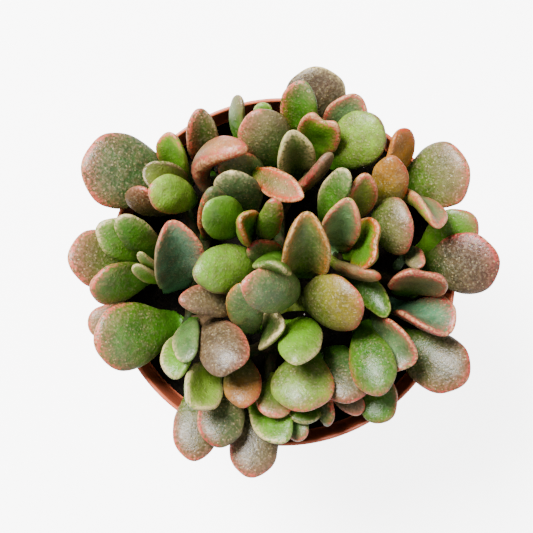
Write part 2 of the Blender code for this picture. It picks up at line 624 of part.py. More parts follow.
def make_stems():
    """One node for each trunk: its shoots' tubes joined into one body."""
    for trunk, foot in TRUNKS.items():
        ends = [end for parent, end, _ in SHOOTS.values() if parent == trunk]
        first = make_object(f"stem_{trunk}", stem_tube(stem_line(foot, ends[0])), BARK)
        for k, end in enumerate(ends[1:]):
            branch = make_object(f"branch_{trunk}_{k}", stem_tube(stem_line(foot, end)), BARK)
            branch.hide_render = True
            branch.display_type = "WIRE"
            join = first.modifiers.new(f"branch_{k}", "BOOLEAN")
            join.operation = "UNION"
            join.object = branch


def make_leaves():
    plans = [plan for _, _, leaves in SHOOTS.values() for plan in leaves]
    lines = np.concatenate([stem_line(TRUNKS[trunk], end) for trunk, end, _ in SHOOTS.values()])
    radii = np.tile(stem_radius(STEM_PLACES), len(SHOOTS))
    grids = iter(settled(plans, lines, radii))
    for name, (_, _, leaves) in SHOOTS.items():
        for number, plan in enumerate(leaves, start=1):
            grid = next(grids)
            if not plan["room_only"]:
                make_object(f"leaf_{name}_{number}", leaf_solid(grid, plan["thick"]), LEAF_GREEN)


# ---- objects and materials ----
def material_of(finish):
    name, colour, roughness = finish
    material = bpy.data.materials.get(name)
    if material is None:
        material = bpy.data.materials.new(name)
        material.use_nodes = True
        shader = material.node_tree.nodes["Principled BSDF"]
        shader.inputs["Base Color"].default_value = (*colour, 1)
        shader.inputs["Roughness"].default_value = roughness
    return material


def make_object(name, mesh, finish):
    data = bpy.data.meshes.new(name)
    mesh.to_mesh(data)
    mesh.free()
    data.shade_smooth()
    data.materials.append(material_of(finish))
    made = bpy.data.objects.new(name, data)
    bpy.context.scene.collection.objects.link(made)
    return made


def main():
    for old in list(bpy.data.objects):
        bpy.data.objects.remove(old)
    make_pot()
    make_soil()
    make_stems()
    make_leaves()


main()
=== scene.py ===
"""Looks of a potted jade plant, built round its CAD frame: leaves, stems, soil and pot.

Sizes are in millimetres and degrees up to the point where a mesh is made, in metres."""

import math

import bmesh
import bpy
import numpy as np
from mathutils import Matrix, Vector, noise
from mathutils.bvhtree import BVHTree
from numpy.linalg import norm


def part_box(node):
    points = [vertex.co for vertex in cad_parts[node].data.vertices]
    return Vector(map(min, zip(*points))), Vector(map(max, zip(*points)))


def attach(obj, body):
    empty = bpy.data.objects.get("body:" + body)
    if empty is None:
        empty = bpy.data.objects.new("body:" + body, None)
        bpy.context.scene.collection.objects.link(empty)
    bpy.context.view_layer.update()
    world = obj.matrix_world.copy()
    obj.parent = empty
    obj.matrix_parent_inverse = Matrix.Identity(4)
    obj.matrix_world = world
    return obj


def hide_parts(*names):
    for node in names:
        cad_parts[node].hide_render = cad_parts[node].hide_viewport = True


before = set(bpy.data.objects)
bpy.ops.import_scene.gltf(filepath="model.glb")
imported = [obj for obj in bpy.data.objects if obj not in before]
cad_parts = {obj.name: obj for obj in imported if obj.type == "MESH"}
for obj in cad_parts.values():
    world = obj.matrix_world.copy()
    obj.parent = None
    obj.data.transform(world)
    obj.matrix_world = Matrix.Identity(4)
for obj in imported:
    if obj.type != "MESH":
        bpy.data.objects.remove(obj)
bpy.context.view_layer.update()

# ---- sizes taken from the frame ----
POT_LOW, POT_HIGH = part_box("pot")
SOIL_LOW, SOIL_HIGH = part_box("soil")
RIM_RADIUS = POT_HIGH.x * 1000
POT_HEIGHT = POT_HIGH.z * 1000
SOIL_TOP = SOIL_HIGH.z * 1000

# ---- pot ----
FOOT_RADIUS = 38.5
WALL = 1.2
COLLAR_HEIGHT = 14.0
COLLAR_STEP = 2.4
COLLAR_TAPER = 0.8
FLOOR_THICKNESS = 1.6
GROOVE_INNER = 20.0
GROOVE_OUTER = 32.0
GROOVE_RISE = 2.0
DRAIN_HOLE_RADIUS = 4.0
DRAIN_HOLES = 6
POT_SIDES = 192

# ---- soil ----
SOIL_CROWN = 1.5
SOIL_RINGS = 70
SOIL_SIDES = 220
CRUMBS = 900
PERLITE_BITS = 10

# ---- stems ----
BARK_DETAIL = 0.4
LEAF_SCAR = 0.12  # how high the rings stand where leaves once grew

# ---- surface colours, as shares of light ----
# the soil's colours: its own dark brown, darkened further to near black as painted shade between
# the leaves
SOIL_WET_SHADED = (0.003, 0.0025, 0.002)
SOIL_DRY_SHADED = (0.008, 0.006, 0.004)
SOIL_FIBRE = (0.05, 0.032, 0.018)
PERLITE_GREY = (0.5, 0.48, 0.44)
PERLITE_WHITE = (0.8, 0.79, 0.75)
POT_DARK = (0.4, 0.085, 0.035)
POT_LIGHT = (0.45, 0.1, 0.043)
POT_GRAIN = (0.52, 0.17, 0.09)
# the colour the pot's inside darkens toward: partly soil stain, partly painted shade
POT_STAIN_AND_SHADE = (0.05, 0.02, 0.012)
FLOOR_GREY = (0.88, 0.88, 0.88)
FLOOR_WHITE = (0.92, 0.92, 0.92)

# ---- stage: metres and watts ----
# The sky and floor light the plant weakly, but show to the camera as bright white.
SKY_GLOW = 0.6
SKY_GLOW_SEEN = 5.8
FLOOR_GLOW = 0.1
FLOOR_GLOW_SEEN = 5.0
FLOOR_REACH = 3.0
LIGHTS = {
    # name: place, diameter, power
    "key": ((-0.4, 0.45, 0.9), 0.45, 45),
    "fill": ((0.7, -0.6, 0.8), 0.8, 4),
}
LENS_MM = 67.3
SENSOR_MM = 36
LENS_SHIFT = (-0.0291, 0.0103)  # shares of the sensor's width

# ---- leaves ----
CROWN_APEX = 300.0  # leaves are drawn in toward a point this far above the rim
RING_SIDES = 12
RING_PLACES = np.array([0.0, 0.12, 0.28, 0.46, 0.64, 0.80, 0.92, 0.985])
FINE_ALONG = 40
FINE_AROUND = 44
BLUNTER = 1.1  # how much broader a leaf's end is than the frame's
PETIOLE_RADIUS = 1.5
PETIOLE_RINGS = 5
BODY_SHARE = 0.55  # how far a leaf turns from its base's colour to its body's
BLUSH_SHARE = 0.65  # and then to that of its end
BAND_SHARE = 0.52  # how far in, of its band, the margin's full colour reaches
GLOW_SHARE = 1.3  # and how far its faint tint does
SWELL_SIZE = 6.0  # the swellings of a leaf's skin: their size, and how high they rise
SWELL = 0.22
FINE_SWELL = 0.06
RIPPLE = 0.3  # how far the margin waves
SMALL_LEAF_GAP = 0.25
SMALL_LEAF_STEPS = 40

COLOURS = {
    # 0 to 255, as a screen shows them
    "young": (112, 152, 70),
    "lime": (146, 174, 100),
    "green": (82, 120, 60),
    "deep": (58, 82, 34),
    "sage": (102, 126, 90),
    "teal": (92, 128, 100),
    "olive": (116, 128, 74),
    "tan": (154, 138, 108),
    "brown": (124, 104, 82),
    "purple": (118, 88, 82),
    "pink": (216, 118, 104),
    "rose": (196, 88, 84),
    "red": (208, 88, 70),
    "orange": (200, 132, 86),
    "gold": (172, 148, 78),
    "cream": (224, 206, 162),
    "frost": (206, 198, 170),
    "maroon": (118, 60, 48),
}

RICHNESS = 1.38  # how much purer a surface is than it is to look
SURFACE_SHARE = 0.5  # and how much darker
NOISE_ROUGHNESS = 0.55

COMPASS = {
    "all": (0, 0), "N": (0, 1), "NE": (0.7, 0.7), "E": (1, 0), "SE": (0.7, -0.7),
    "S": (0, -1), "SW": (-0.7, -0.7), "W": (-1, 0), "NW": (-0.7, 0.7),
}


def look(colours, start, band, toward, speckle, inner=None, notch=0.0, shade=1.0):
    """A leaf's colours: base, body, blush and edge. blush sets in at the start share of its
    length, edge colours the margin over band millimetres on the side that the compass names,
    and inner the hollow of a cupped leaf. notch, in millimetres, hollows out its tip, and
    shade is how much lighter or darker than the palette the leaf's skin is."""
    base, body, blush, edge = colours.split()
    return dict(
        base=base, body=body, blush=blush, edge=edge, start=start, band=band,
        toward=toward, speckle=speckle, inner=inner, notch=notch, shade=shade,
    )


LOOKS = {
    "northwest_1": look("green sage sage pink", 0.5, 3.2, "W", 0.9, shade=0.52),
    "northwest_2": look("young young young pink", 0.9, 0.8, "NW", 0.1),
    "northwest_4": look("green lime lime pink", 0.7, 1.0, "SW", 0.5, shade=1.5),
    "north_left_1": look("green tan tan pink", 0.3, 1.8, "W", 0.7, "deep", shade=0.8),
    "north_left_2": look("brown tan orange rose", 0.5, 1.8, "all", 0.8),
    "west_1": look("green olive brown pink", 0.55, 3.0, "W", 0.8, shade=0.75),
    "west_2": look("green green sage pink", 0.7, 1.8, "W", 0.5),
    "west_3": look("young green green cream", 0.8, 1.2, "NW", 0.3),
    "west_5": look("green tan brown pink", 0.5, 1.6, "NE", 0.7, "teal"),
    "southwest_1": look("green green sage pink", 0.6, 2.8, "W", 0.6, shade=0.9),
    "southwest_3": look("young young young cream", 0.9, 1.0, "W", 0.1),
    "south_left_1": look("green olive brown pink", 0.35, 1.8, "SW", 0.7, shade=0.6),
    "south_left_2": look("young green green cream", 0.8, 1.2, "all", 0.1, "lime"),
    "south_left_3": look("green brown sage rose", 0.35, 2.2, "W", 0.7, shade=0.6),
    "south_left_4": look("green brown orange rose", 0.5, 1.5, "E", 0.7),
    "south_1": look("sage brown tan pink", 0.4, 2.0, "SW", 0.9, shade=0.55),
    "south_2": look("young green green cream", 0.9, 1.4, "SW", 0.1, shade=1.15),
    "south_right_1": look("green olive lime pink", 0.5, 1.6, "SE", 0.7),
    "south_right_3": look("green sage brown rose", 0.5, 1.4, "S", 0.8, shade=0.7),
    "southeast_1": look("green green sage pink", 0.8, 1.3, "SW", 0.4),
    "southeast_3": look("green olive brown rose", 0.4, 2.0, "SE", 0.9, shade=0.55),
    "southeast_4": look("green green sage rose", 0.5, 1.3, "all", 0.4, "sage"),
    "east_1": look("green purple purple rose", 0.35, 2.6, "NE", 0.9, shade=0.5),
    "east_2": look("green brown brown rose", 0.4, 1.6, "all", 0.6, None, 3.0),
    "east_3": look("sage brown purple rose", 0.4, 1.8, "all", 0.6, "teal"),
    "east_4": look("young green tan rose", 0.8, 1.2, "E", 0.3),
    "northeast_1": look("green olive tan pink", 0.45, 2.2, "E", 0.9, shade=0.75),
    "northeast_2": look("lime lime lime pink", 0.8, 2.0, "all", 0.2, "sage"),
    "northeast_3": look("green gold orange red", 0.5, 1.4, "E", 0.7, shade=0.85),
    "northeast_5": look("green olive tan rose", 0.5, 1.8, "E", 0.8, shade=0.7),
    "north_1": look("green purple purple cream", 0.4, 1.2, "NE", 0.9, shade=0.55),
    "north_2": look("green green sage pink", 0.7, 1.6, "W", 0.3),
    "north_3": look("young green green pink", 0.9, 1.2, "all", 0.1, None, 3.5, shade=1.15),
    "north_4": look("young tan tan rose", 0.4, 1.2, "all", 0.4, "sage"),
    "north_5": look("green olive lime brown", 0.4, 1.4, "E", 0.8, shade=1.35),
    "north_middle_1": look("green sage tan pink", 0.5, 2.2, "W", 0.9, shade=0.75),
    "north_middle_2": look("green brown tan red", 0.5, 2.0, "all", 0.8),
    "north_middle_3": look("lime lime lime cream", 0.5, 1.6, "all", 0.2, "deep", shade=1.2),
    "inner_northwest_1": look("deep sage sage cream", 0.5, 1.4, "NW", 0.6, shade=0.7),
    "inner_northwest_2": look("green sage sage red", 0.5, 1.6, "SW", 0.5, shade=0.75),
    "inner_northwest_3": look("green young young lime", 0.9, 1.0, "W", 0.0),
    "inner_northwest_4": look("young lime young red", 0.9, 0.9, "all", 0.1, "green"),
    "centre_1": look("green sage sage pink", 0.5, 1.8, "NW", 0.7),
    "centre_2": look("green lime young brown", 0.6, 1.3, "SW", 0.5, shade=1.2),
    "centre_4": look("green olive sage orange", 0.4, 1.6, "all", 0.8, shade=0.85),
    "inner_east_1": look("young green green red", 0.9, 1.0, "all", 0.1, None, 3.5),
    "inner_east_2": look("lime lime lime pink", 0.9, 1.0, "all", 0.1, "sage", shade=1.3),
    "inner_east_3": look("green lime lime rose", 0.8, 1.1, "all", 0.2, "olive"),
    "inner_south_1": look("olive olive gold rose", 0.5, 1.6, "E", 0.9, shade=0.8),
    "inner_south_2": look("young young lime cream", 0.7, 1.3, "SE", 0.1),
    "inner_south_3": look("green green green cream", 0.9, 1.2, "all", 0.2, "deep"),
    "inner_south_4": look("green sage sage orange", 0.7, 1.3, "W", 0.5),
    "inner_south_5": look("brown brown brown pink", 0.4, 1.4, "NE", 0.8, None, 1.5, shade=0.6),
    "inner_south_6": look("sage brown brown pink", 0.4, 1.4, "N", 0.8, shade=0.75),
}

SMALL_LEAVES = {
    # name: foot and tip (x, y, height over the rim), width, turn, bend, cup, thickness, look
    "northwest_3": ((-28.5, 26, 1), (-41.5, 30, 18), 12, 15, 50, 110, 3.2,
        look("young green green brown", 0.9, 0.8, "all", 0.0, "olive")),
    "northwest_5": ((-31.5, 19.5, -1), (-45, 25.5, 14), 13, -60, 60, 40, 4.0,
        look("olive brown maroon pink", 0.4, 1.4, "NE", 0.8, shade=0.75)),
    "west_4": ((-37, 6, 1), (-49, 17, 20.5), 10, -25, 30, 40, 3.6,
        look("green green green cream", 0.7, 1.0, "N", 0.2)),
    "west_6": ((-35.5, -2.5, 1), (-44.5, 2, 19), 5.5, -30, 30, 60, 2.6,
        look("young young lime cream", 0.8, 0.7, "all", 0.0)),
    "west_7": ((-35.5, 0, 2.5), (-43.5, 5, 22), 4.5, -20, 30, 60, 2.2,
        look("young young lime cream", 0.8, 0.7, "all", 0.0)),
    "southwest_2": ((-35, -14, -2.5), (-58.5, -15.5, 7), 12, 0, 25, 10, 4.2,
        look("green brown tan pink", 0.5, 1.4, "W", 0.7)),
    "southwest_4": ((-26.5, -15, 3), (-28, -27, 24.5), 9.5, 25, 50, 40, 3.4,
        look("green sage sage cream", 0.7, 1.0, "W", 0.2)),
    "south_3": ((-1.5, -32, -1.5), (-3, -43.5, 15), 12.5, 0, 30, 20, 4.2,
        look("olive green tan pink", 0.7, 1.5, "S", 0.3)),
    "south_4": ((0, -38, -3.5), (7, -50, 10), 9, 20, 25, 40, 3.8,
        look("green sage sage pink", 0.8, 0.9, "S", 0.3)),
    "south_right_2": ((6, -32, -1.5), (6.5, -46, 12.5), 13, 0, -15, 55, 3.8,
        look("green green green olive", 0.8, 1.0, "all", 0.1, "green")),
    "south_right_4": ((10, -30.5, 0), (14, -46, 12.5), 9, 40, 30, 20, 4.0,
        look("deep deep green pink", 0.8, 0.9, "E", 0.2)),
    "south_right_5": ((13, -32, -2.5), (24.5, -42, 8.5), 7.5, 10, 30, 20, 3.8,
        look("sage brown brown pink", 0.5, 1.0, "S", 0.6)),
    "southeast_2": ((26.5, -27.5, -2), (29.5, -45.5, 8.5), 12.5, 0, 30, 10, 4.2,
        look("green green green pink", 0.8, 0.8, "E", 0.2)),
    "east_5": ((38.5, 6.5, -1.5), (42, 0.5, 18), 6.5, 30, 30, 60, 3.4,
        look("sage sage tan pink", 0.6, 1.0, "E", 0.4)),
    "northeast_4": ((31, 25, -1.5), (35.5, 43, 16.5), 13, 50, 25, 60, 3.8,
        look("green orange orange red", 0.3, 1.8, "E", 0.5)),
    "north_middle_4": ((3, 24, 4.5), (14, 35.5, 26), 9, 85, 25, 20, 4.0,
        look("green brown purple rose", 0.4, 1.6, "W", 0.6)),
    "north_middle_5": ((-4.5, 36.5, -2), (-6, 51, 14), 7.5, 0, 30, 30, 3.8,
        look("young young young lime", 0.8, 0.8, "N", 0.0)),
    "north_middle_6": ((-8.5, 34.5, 0), (-12.5, 53, 16.5), 9, -70, 55, 20, 3.6,
        look("green green tan brown", 0.7, 1.2, "N", 0.3)),
    "inner_northwest_5": ((-6, 11.5, 7), (-2, 22, 34), 8, 20, 55, 20, 4.0,
        look("green green olive rose", 0.7, 1.2, "E", 0.4)),
    "centre_3": ((-1.5, 6.5, 10.5), (-3, 2, 39.5), 13, 0, -30, -70, 3.6,
        look("green young green cream", 0.7, 1.2, "S", 0.1)),
    "inner_east_4": ((12.5, 14.5, 5), (20, 30.5, 30), 10, -30, 30, 40, 3.8,
        look("green green sage cream", 0.7, 1.2, "NW", 0.3)),
    "inner_east_5": ((15.5, 3.5, 4), (28.5, 0, 26), 9, 80, 20, 20, 4.0,
        look("olive tan tan red", 0.4, 1.6, "S", 0.7)),
    "north_left_3": ((-6, 24, -2), (-18, 36, 15), 13, 10, 40, 20, 4.2,
        look("deep sage olive pink", 0.6, 1.2, "NW", 0.6)),
    "north_left_4": ((-9, 27, -4), (-13.5, 38, 10), 12, -10, 30, 20, 4.2,
        look("deep green olive pink", 0.6, 1.2, "N", 0.5)),
    "centre_5": ((-1, 3, 4), (-11, 10, 21), 9, 10, 40, 20, 3.8,
        look("deep green sage rose", 0.7, 1.2, "N", 0.5)),
    "centre_6": ((-2, -3, 2), (-15, -3, 19), 10, 0, 40, 20, 4.0,
        look("deep green olive pink", 0.7, 1.2, "W", 0.5)),
    "inner_east_7": ((16, 8, -2), (22, 14, 16), 10, 0, 30, 20, 4.0,
        look("deep green olive rose", 0.7, 1.2, "E", 0.5)),
    "west_8": ((-24, 3, -4), (-36, 5, 12), 11, 0, 30, 20, 4.0,
        look("deep green olive pink", 0.7, 1.2, "W", 0.5)),
    "inner_east_6": ((20, 0, 1), (27, -14, 19), 9, 0, 30, 20, 4.0,
        look("deep green green lime", 0.9, 0.8, "all", 0.2)),
}


def linear(name):
    """A named colour as a surface's share of light."""
    share = np.array(COLOURS[name]) / 255
    light = np.where(share <= 0.04045, share / 12.92, ((share + 0.055) / 1.055) ** 2.4)
    grey = light @ np.array([0.21, 0.72, 0.07])
    return np.clip(grey + (light - grey) * RICHNESS, 0.004, 1) * SURFACE_SHARE


def ease(x):
    x = np.clip(x, 0, 1)
    return x * x * (3 - 2 * x)


def unit(vectors):
    return vectors / np.maximum(norm(vectors, axis=-1, keepdims=True), 1e-9)


def angles_round(count):
    """The angles of this many points spread round a circle."""
    return 2 * np.pi * np.arange(count) / count


# ---- reading a CAD leaf ----
def welded(node):
    """A frame node's vertices in millimetres, made one where they meet, and its faces."""
    mesh = node.data
    points = np.array([vertex.co for vertex in mesh.vertices]) * 1000
    keys, index = np.unique(np.round(points, 3), axis=0, return_inverse=True)
    index = index.reshape(-1)
    faces = [tuple(index[list(polygon.vertices)]) for polygon in mesh.polygons]
    return keys, faces


def neighbours_of(count, faces):
    linked = [set() for _ in range(count)]
    for face in faces:
        for a, b in zip(face, face[1:] + face[:1]):
            linked[a].add(b)
            linked[b].add(a)
    return linked


def layers_from(pole, linked):
    """Vertices grouped by how many edges away from the pole they are."""
    layers = [[pole]]
    seen = {pole}
    while layers[-1]:
        found = sorted({other for one in layers[-1] for other in linked[one]} - seen)
        seen.update(found)
        layers.append(found)
    return layers[:-1]


def in_order(layer, linked):
    """A ring's vertices in the order in which they follow each other."""
    members = set(layer)
    chain = [layer[0]]
    while len(chain) < len(layer):
        onward = sorted((linked[chain[-1]] & members) - set(chain))
        chain.append(onward[0])
    return chain


def ring_area(ring):
    """Twice the area vector of a closed ring of points."""
    middle = ring.mean(axis=0)
    return np.cross(ring - middle, np.roll(ring, -1, axis=0) - middle).sum(axis=0)


def read_leaf(node):
    """A CAD leaf as (foot, rings, tip). Ring column 0 is its right margin, seen from above
    with the foot near the viewer, column 3 the middle of its upper face, 6 its left margin."""
    points, faces = welded(node)
    linked = neighbours_of(len(points), faces)
    poles = [n for n in range(len(points)) if len(linked[n]) == RING_SIDES]
    best = None
    for pole in poles:
        layers = layers_from(pole, linked)
        sizes = [len(layer) for layer in layers]
        if sizes != [1] + [RING_SIDES] * len(RING_PLACES) + [1]:
            continue
        first = norm(ring_area(points[in_order(layers[1], linked)]))
        if best is None or first > best[0]:
            best = (first, layers)
    layers = best[1]
    foot, tip = points[layers[0][0]], points[layers[-1][0]]
    rings = [points[in_order(layer, linked)] for layer in layers[1:-1]]
    for n, ring in enumerate(rings):
        onward = rings[n + 1].mean(axis=0) if n + 1 < len(rings) else tip
        if ring_area(ring) @ (onward - ring.mean(axis=0)) > 0:
            rings[n] = ring[::-1]
    for n in range(1, len(rings)):
        turns = [np.roll(rings[n], shift, axis=0) for shift in range(RING_SIDES)]
        gaps = [((turn - rings[n - 1]) ** 2).sum() for turn in turns]
        rings[n] = turns[int(np.argmin(gaps))]
    return foot, start_at_margin(np.array(rings)), tip


def start_at_margin(rings):
    """Rolls the columns so that the sharpest ones are margins and the upper face comes first."""
    before = unit(np.roll(rings, 1, axis=1) - rings)
    after = unit(np.roll(rings, -1, axis=1) - rings)
    sharpness = (before * after).sum(axis=2)[1:-1].sum(axis=0)
    half = RING_SIDES // 2
    both = sharpness[:half] + sharpness[half:]
    rings = np.roll(rings, -int(np.argmax(both)), axis=1)
    quarter = RING_SIDES // 4
    upper = rings[:, quarter] - rings[:, quarter + half]
    if upper[1:-1, 2].sum() < 0:
        rings = np.roll(rings, half, axis=1)
    return rings


# ---- the fine surface of a leaf ----
def spline_weights(knots, wanted):
    """The matrix that turns values at the knots into a natural cubic spline's values."""
    count = len(knots)
    gap = np.diff(knots)
    system = np.eye(count)
    right = np.zeros((count, count))
    for i in range(1, count - 1):
        system[i, i - 1:i + 2] = gap[i - 1], 2 * (gap[i - 1] + gap[i]), gap[i]
        right[i, i - 1:i + 2] = 6 / gap[i - 1], -6 / gap[i - 1] - 6 / gap[i], 6 / gap[i]
    second = np.linalg.solve(system, right)
    rows = np.zeros((len(wanted), count))
    for row, x in enumerate(wanted):
        k = int(np.clip(np.searchsorted(knots, x) - 1, 0, count - 2))
        a = (knots[k + 1] - x) / gap[k]
        b = (x - knots[k]) / gap[k]
        rows[row, k] += a
        rows[row, k + 1] += b
        bend = gap[k] ** 2 / 6
        rows[row] += bend * ((a**3 - a) * second[k] + (b**3 - b) * second[k + 1])
    return rows


def rounder(values, count):
    """Values round a ring, read at count places by their Fourier series."""
    series = np.fft.rfft(values, axis=1) / RING_SIDES
    angles = angles_round(count)
    out = np.repeat(series[:, :1].real, count, axis=1)
    for k in range(1, RING_SIDES // 2):
        wave = np.exp(1j * k * angles)[None, :, None] * series[:, k:k + 1]
        out = out + 2 * wave.real
    return out


USED_RINGS = len(RING_PLACES) - 1  # the ring nearest the tip is left out, to round the end off
LENGTH_PLACES = 1 - np.sqrt(1 - RING_PLACES[:USED_RINGS])  # spaced so that the tip is a dome
FINE_LENGTH = np.linspace(0, 1, FINE_ALONG + 1)[:-1]
FINE_SHARE = 1 - (1 - FINE_LENGTH) ** 2
FINE_ANGLES = angles_round(FINE_AROUND)
THROUGH_TIP = np.concatenate([LENGTH_PLACES, [1.0], 2 - LENGTH_PLACES[::-1]])
TO_FINE = spline_weights(THROUGH_TIP, FINE_LENGTH)


def fine_rings(rings, tip):
    """Rings of a smooth leaf: round each CAD ring, and along it over the tip and back."""
    used = rings[:USED_RINGS].copy()
    middle = used[-1].mean(axis=0)
    used[-1] = middle + (used[-1] - middle) * BLUNTER
    around = rounder(used, FINE_AROUND)
    far = np.roll(around, FINE_AROUND // 2, axis=1)[::-1]
    over = np.repeat(tip[None, None], FINE_AROUND, axis=1)
    return np.einsum("ab,bkc->akc", TO_FINE, np.concatenate([around, over, far]))


def frame_of(rings, tip):
    """Middle line, unit directions toward the tip, rightward and upward at each ring."""
    middle = rings.mean(axis=1)
    line = np.concatenate([middle, tip[None]])
    ahead = unit(np.gradient(line, axis=0)[:-1])
    half = rings.shape[1] // 2
    right = unit(rings[:, 0] - rings[:, half])
    up = unit(np.cross(right, ahead))
    return middle, ahead, right, up


def notched(rings, tip, depth):
    """Draws the middle of the leaf's end back, so that two blunt horns stand beside it."""
    _, ahead, right, _ = frame_of(rings, tip)
    reach = norm(rings[:, 0] - rings[:, rings.shape[1] // 2], axis=1).max() / 2
    onward = unit(ahead[-6:].mean(axis=0))
    sideways = unit(right[-12:].mean(axis=0))
    across = (rings - tip) @ sideways / reach
    near_end = ease((FINE_SHARE - 0.45) / 0.5)[:, None]
    pull = depth * near_end * (1.25 * np.exp(-((across / 0.5) ** 2)) - 0.45)
    return rings - pull[..., None] * onward, tip - depth * 0.8 * onward


def petiole(rings, foot, anchor):
    """Rings that narrow from the leaf's base down to the stem, where they end."""
    base = rings[0]
    middle = base.mean(axis=0)
    backward = unit(foot - rings[3].mean(axis=0))
    span = norm(anchor - middle)
    made = []
    for share in np.linspace(1, 0, PETIOLE_RINGS + 1)[:-1]:
        bowed = middle + backward * span * 0.45 * share * (1 - share) * 2
        centre = bowed + (anchor - middle) * share**1.3
        offsets = base - middle
        size = norm(offsets, axis=1, keepdims=True)
        small = offsets / size * PETIOLE_RADIUS
        mix = ease(share)
        made.append(centre + offsets * (1 - mix) + small * mix)
    return np.array(made)


def margin_distance(rings, length):
    """About how far, in millimetres, each point is from the leaf's margin."""
    half = rings.shape[1] // 2
    reach = norm(rings[:, 0] - rings[:, half], axis=1) / 2
    width = reach[:, None] * (1 - np.abs(np.cos(FINE_ANGLES))[None])
    end = np.repeat((1 - FINE_SHARE)[:, None] * length, FINE_AROUND, axis=1)
    return 1 / (1 / np.maximum(width, 1e-3) ** 2 + 1 / np.maximum(end, 1e-3) ** 2) ** 0.5


def hollow_side(rings):
    """1 if the leaf's middle rings are hollow on their upper face, otherwise -1."""
    half = rings.shape[1] // 2
    quarter = half // 2
    margins = (rings[:, 0] + rings[:, half]) / 2
    faces = (rings[:, quarter] + rings[:, quarter + half]) / 2
    up = unit(rings[:, quarter] - rings[:, quarter + half])
    rise = ((margins - faces) * up).sum(axis=1)
    return 1 if rise[4:-4].mean() > 0 else -1


def skin_colours(style, rings, tip, foot):
    """Colour, margin strength and speckling for each point of a leaf's rings."""
    length = norm(tip - foot)
    along = np.repeat(FINE_SHARE[:, None], FINE_AROUND, axis=1)
    outward = unit(rings - rings.mean(axis=1, keepdims=True))
    open_sky = ease(outward[..., 2] * 0.6 + 0.75)
    body = BODY_SHARE * ease((along - 0.1) / 0.4)[..., None]
    blush = ease((along - style["start"] + 0.05) / 0.4) * (0.25 + 0.75 * open_sky)
    blush = BLUSH_SHARE * blush[..., None]
    colour = linear(style["base"]) * (1 - body) + linear(style["body"]) * body
    colour = colour * (1 - blush) + linear(style["blush"]) * blush
    if style["inner"]:
        facing = np.clip(np.sin(FINE_ANGLES) * hollow_side(rings) * 3, 0, 1)
        inside = np.repeat(facing[None], len(rings), axis=0)[..., None]
        colour = colour * (1 - inside) + linear(style["inner"]) * inside
    gap = margin_distance(rings, length)
    edge = np.exp(-((gap / (style["band"] * BAND_SHARE)) ** 3)) * ease(along / 0.35)
    glow = np.exp(-((gap / (style["band"] * GLOW_SHARE)) ** 2)) * ease(along / 0.5)
    direction = np.array(COMPASS[style["toward"]], float)
    if direction.any():
        plan = rings[..., :2] - rings[..., :2].mean(axis=(0, 1))
        plan = plan / norm(plan, axis=-1).max()
        facing = 0.12 + 0.88 * ease(plan @ direction + 0.35)
        edge = edge * facing
        glow = glow * facing
    speckle = (0.25 + 0.75 * style["speckle"]) * ease((along - 0.08) / 0.35)
    speckle = speckle * (0.3 + 0.7 * open_sky)
    return colour, {"margin": edge, "glow": glow, "speckle": speckle}


# ---- objects ----
def placed(name, data):
    """A new object in the scene."""
    made = bpy.data.objects.new(name, data)
    bpy.context.scene.collection.objects.link(made)
    return made


def add_object(name, mesh, material, node=None):
    mesh.shade_smooth()
    mesh.materials.append(material)
    made = placed(name, mesh)
    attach(made, "root")
    if node:
        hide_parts(node)
    return made


def paint(mesh, name, values):
    """Stores one value or colour for each vertex."""
    values = np.asarray(values, np.float32)
    if values.ndim == 1:
        layer = mesh.attributes.new(name, "FLOAT", "POINT")
        layer.data.foreach_set("value", values)
        return
    layer = mesh.attributes.new(name, "FLOAT_COLOR", "POINT")
    rgba = np.concatenate([values, np.ones((len(values), 1), np.float32)], axis=1)
    layer.data.foreach_set("color", rgba.ravel())


def ringed_mesh(name, rings, first, last):
    """A closed mesh from rings of points, with a point at each end."""
    count, sides, _ = rings.shape
    points = np.concatenate([rings.reshape(-1, 3), [first, last]]) / 1000
    faces = []
    for k in range(sides):
        after = (k + 1) % sides
        faces.append((count * sides, k, after))
        faces.append((count * sides + 1, (count - 1) * sides + after, (count - 1) * sides + k))
        for n in range(count - 1):
            low, high = n * sides, (n + 1) * sides
            faces.append((low + k, high + k, high + after, low + after))
    mesh = bpy.data.meshes.new(name)
    mesh.from_pydata([tuple(point) for point in points], [], faces)
    mesh.update()
    return mesh


def wavy(rings, seed):
    """Small swellings of a grown surface, and a slight ripple of its margin."""
    _, _, _, up = frame_of(rings, rings[-1].mean(axis=0))
    middle = rings.mean(axis=1, keepdims=True)
    out = unit(rings - middle)
    moved = rings.copy()
    for n in range(rings.shape[0]):
        fade = ease(FINE_SHARE[n] * 3)
        for k in range(rings.shape[1]):
            place = Vector(rings[n, k] / SWELL_SIZE) + Vector((seed, 0, 0))
            swell = noise.noise(place) * SWELL + noise.noise(place * 3.1) * FINE_SWELL
            ripple = noise.noise(place * 1.4 + Vector((0, 9, 0))) * RIPPLE
            margin = abs(math.cos(FINE_ANGLES[k])) ** 6
            moved[n, k] += out[n, k] * swell * fade + up[n] * ripple * margin * fade
    return moved


def make_leaf(name, foot, rings, tip, style, seed, node=None):
    anchor = stem_anchor(foot)
    fine = fine_rings(rings, tip)
    if style["notch"]:
        fine, tip = notched(fine, tip, style["notch"])
    fine = wavy(fine, seed)
    neck = petiole(fine, foot, anchor)
    colour, shares = skin_colours(style, fine, tip, foot)
    colour = np.clip(colour * style["shade"], 0, 1)
    mesh = ringed_mesh(f"jade_{name}", np.concatenate([neck, fine]), anchor, tip)
    for layer, values in {"skin": colour, **shares}.items():
        values = np.concatenate([np.repeat(values[:1], len(neck), axis=0), values])
        values = values.reshape(-1, *values.shape[2:])
        paint(mesh, layer, np.concatenate([values, values[:1], values[-1:]]))
    paint(mesh, "margin_colour", np.tile(linear(style["edge"]), (len(mesh.vertices), 1)))
    return add_object(f"jade_{name}", mesh, LEAF_SKIN, node)


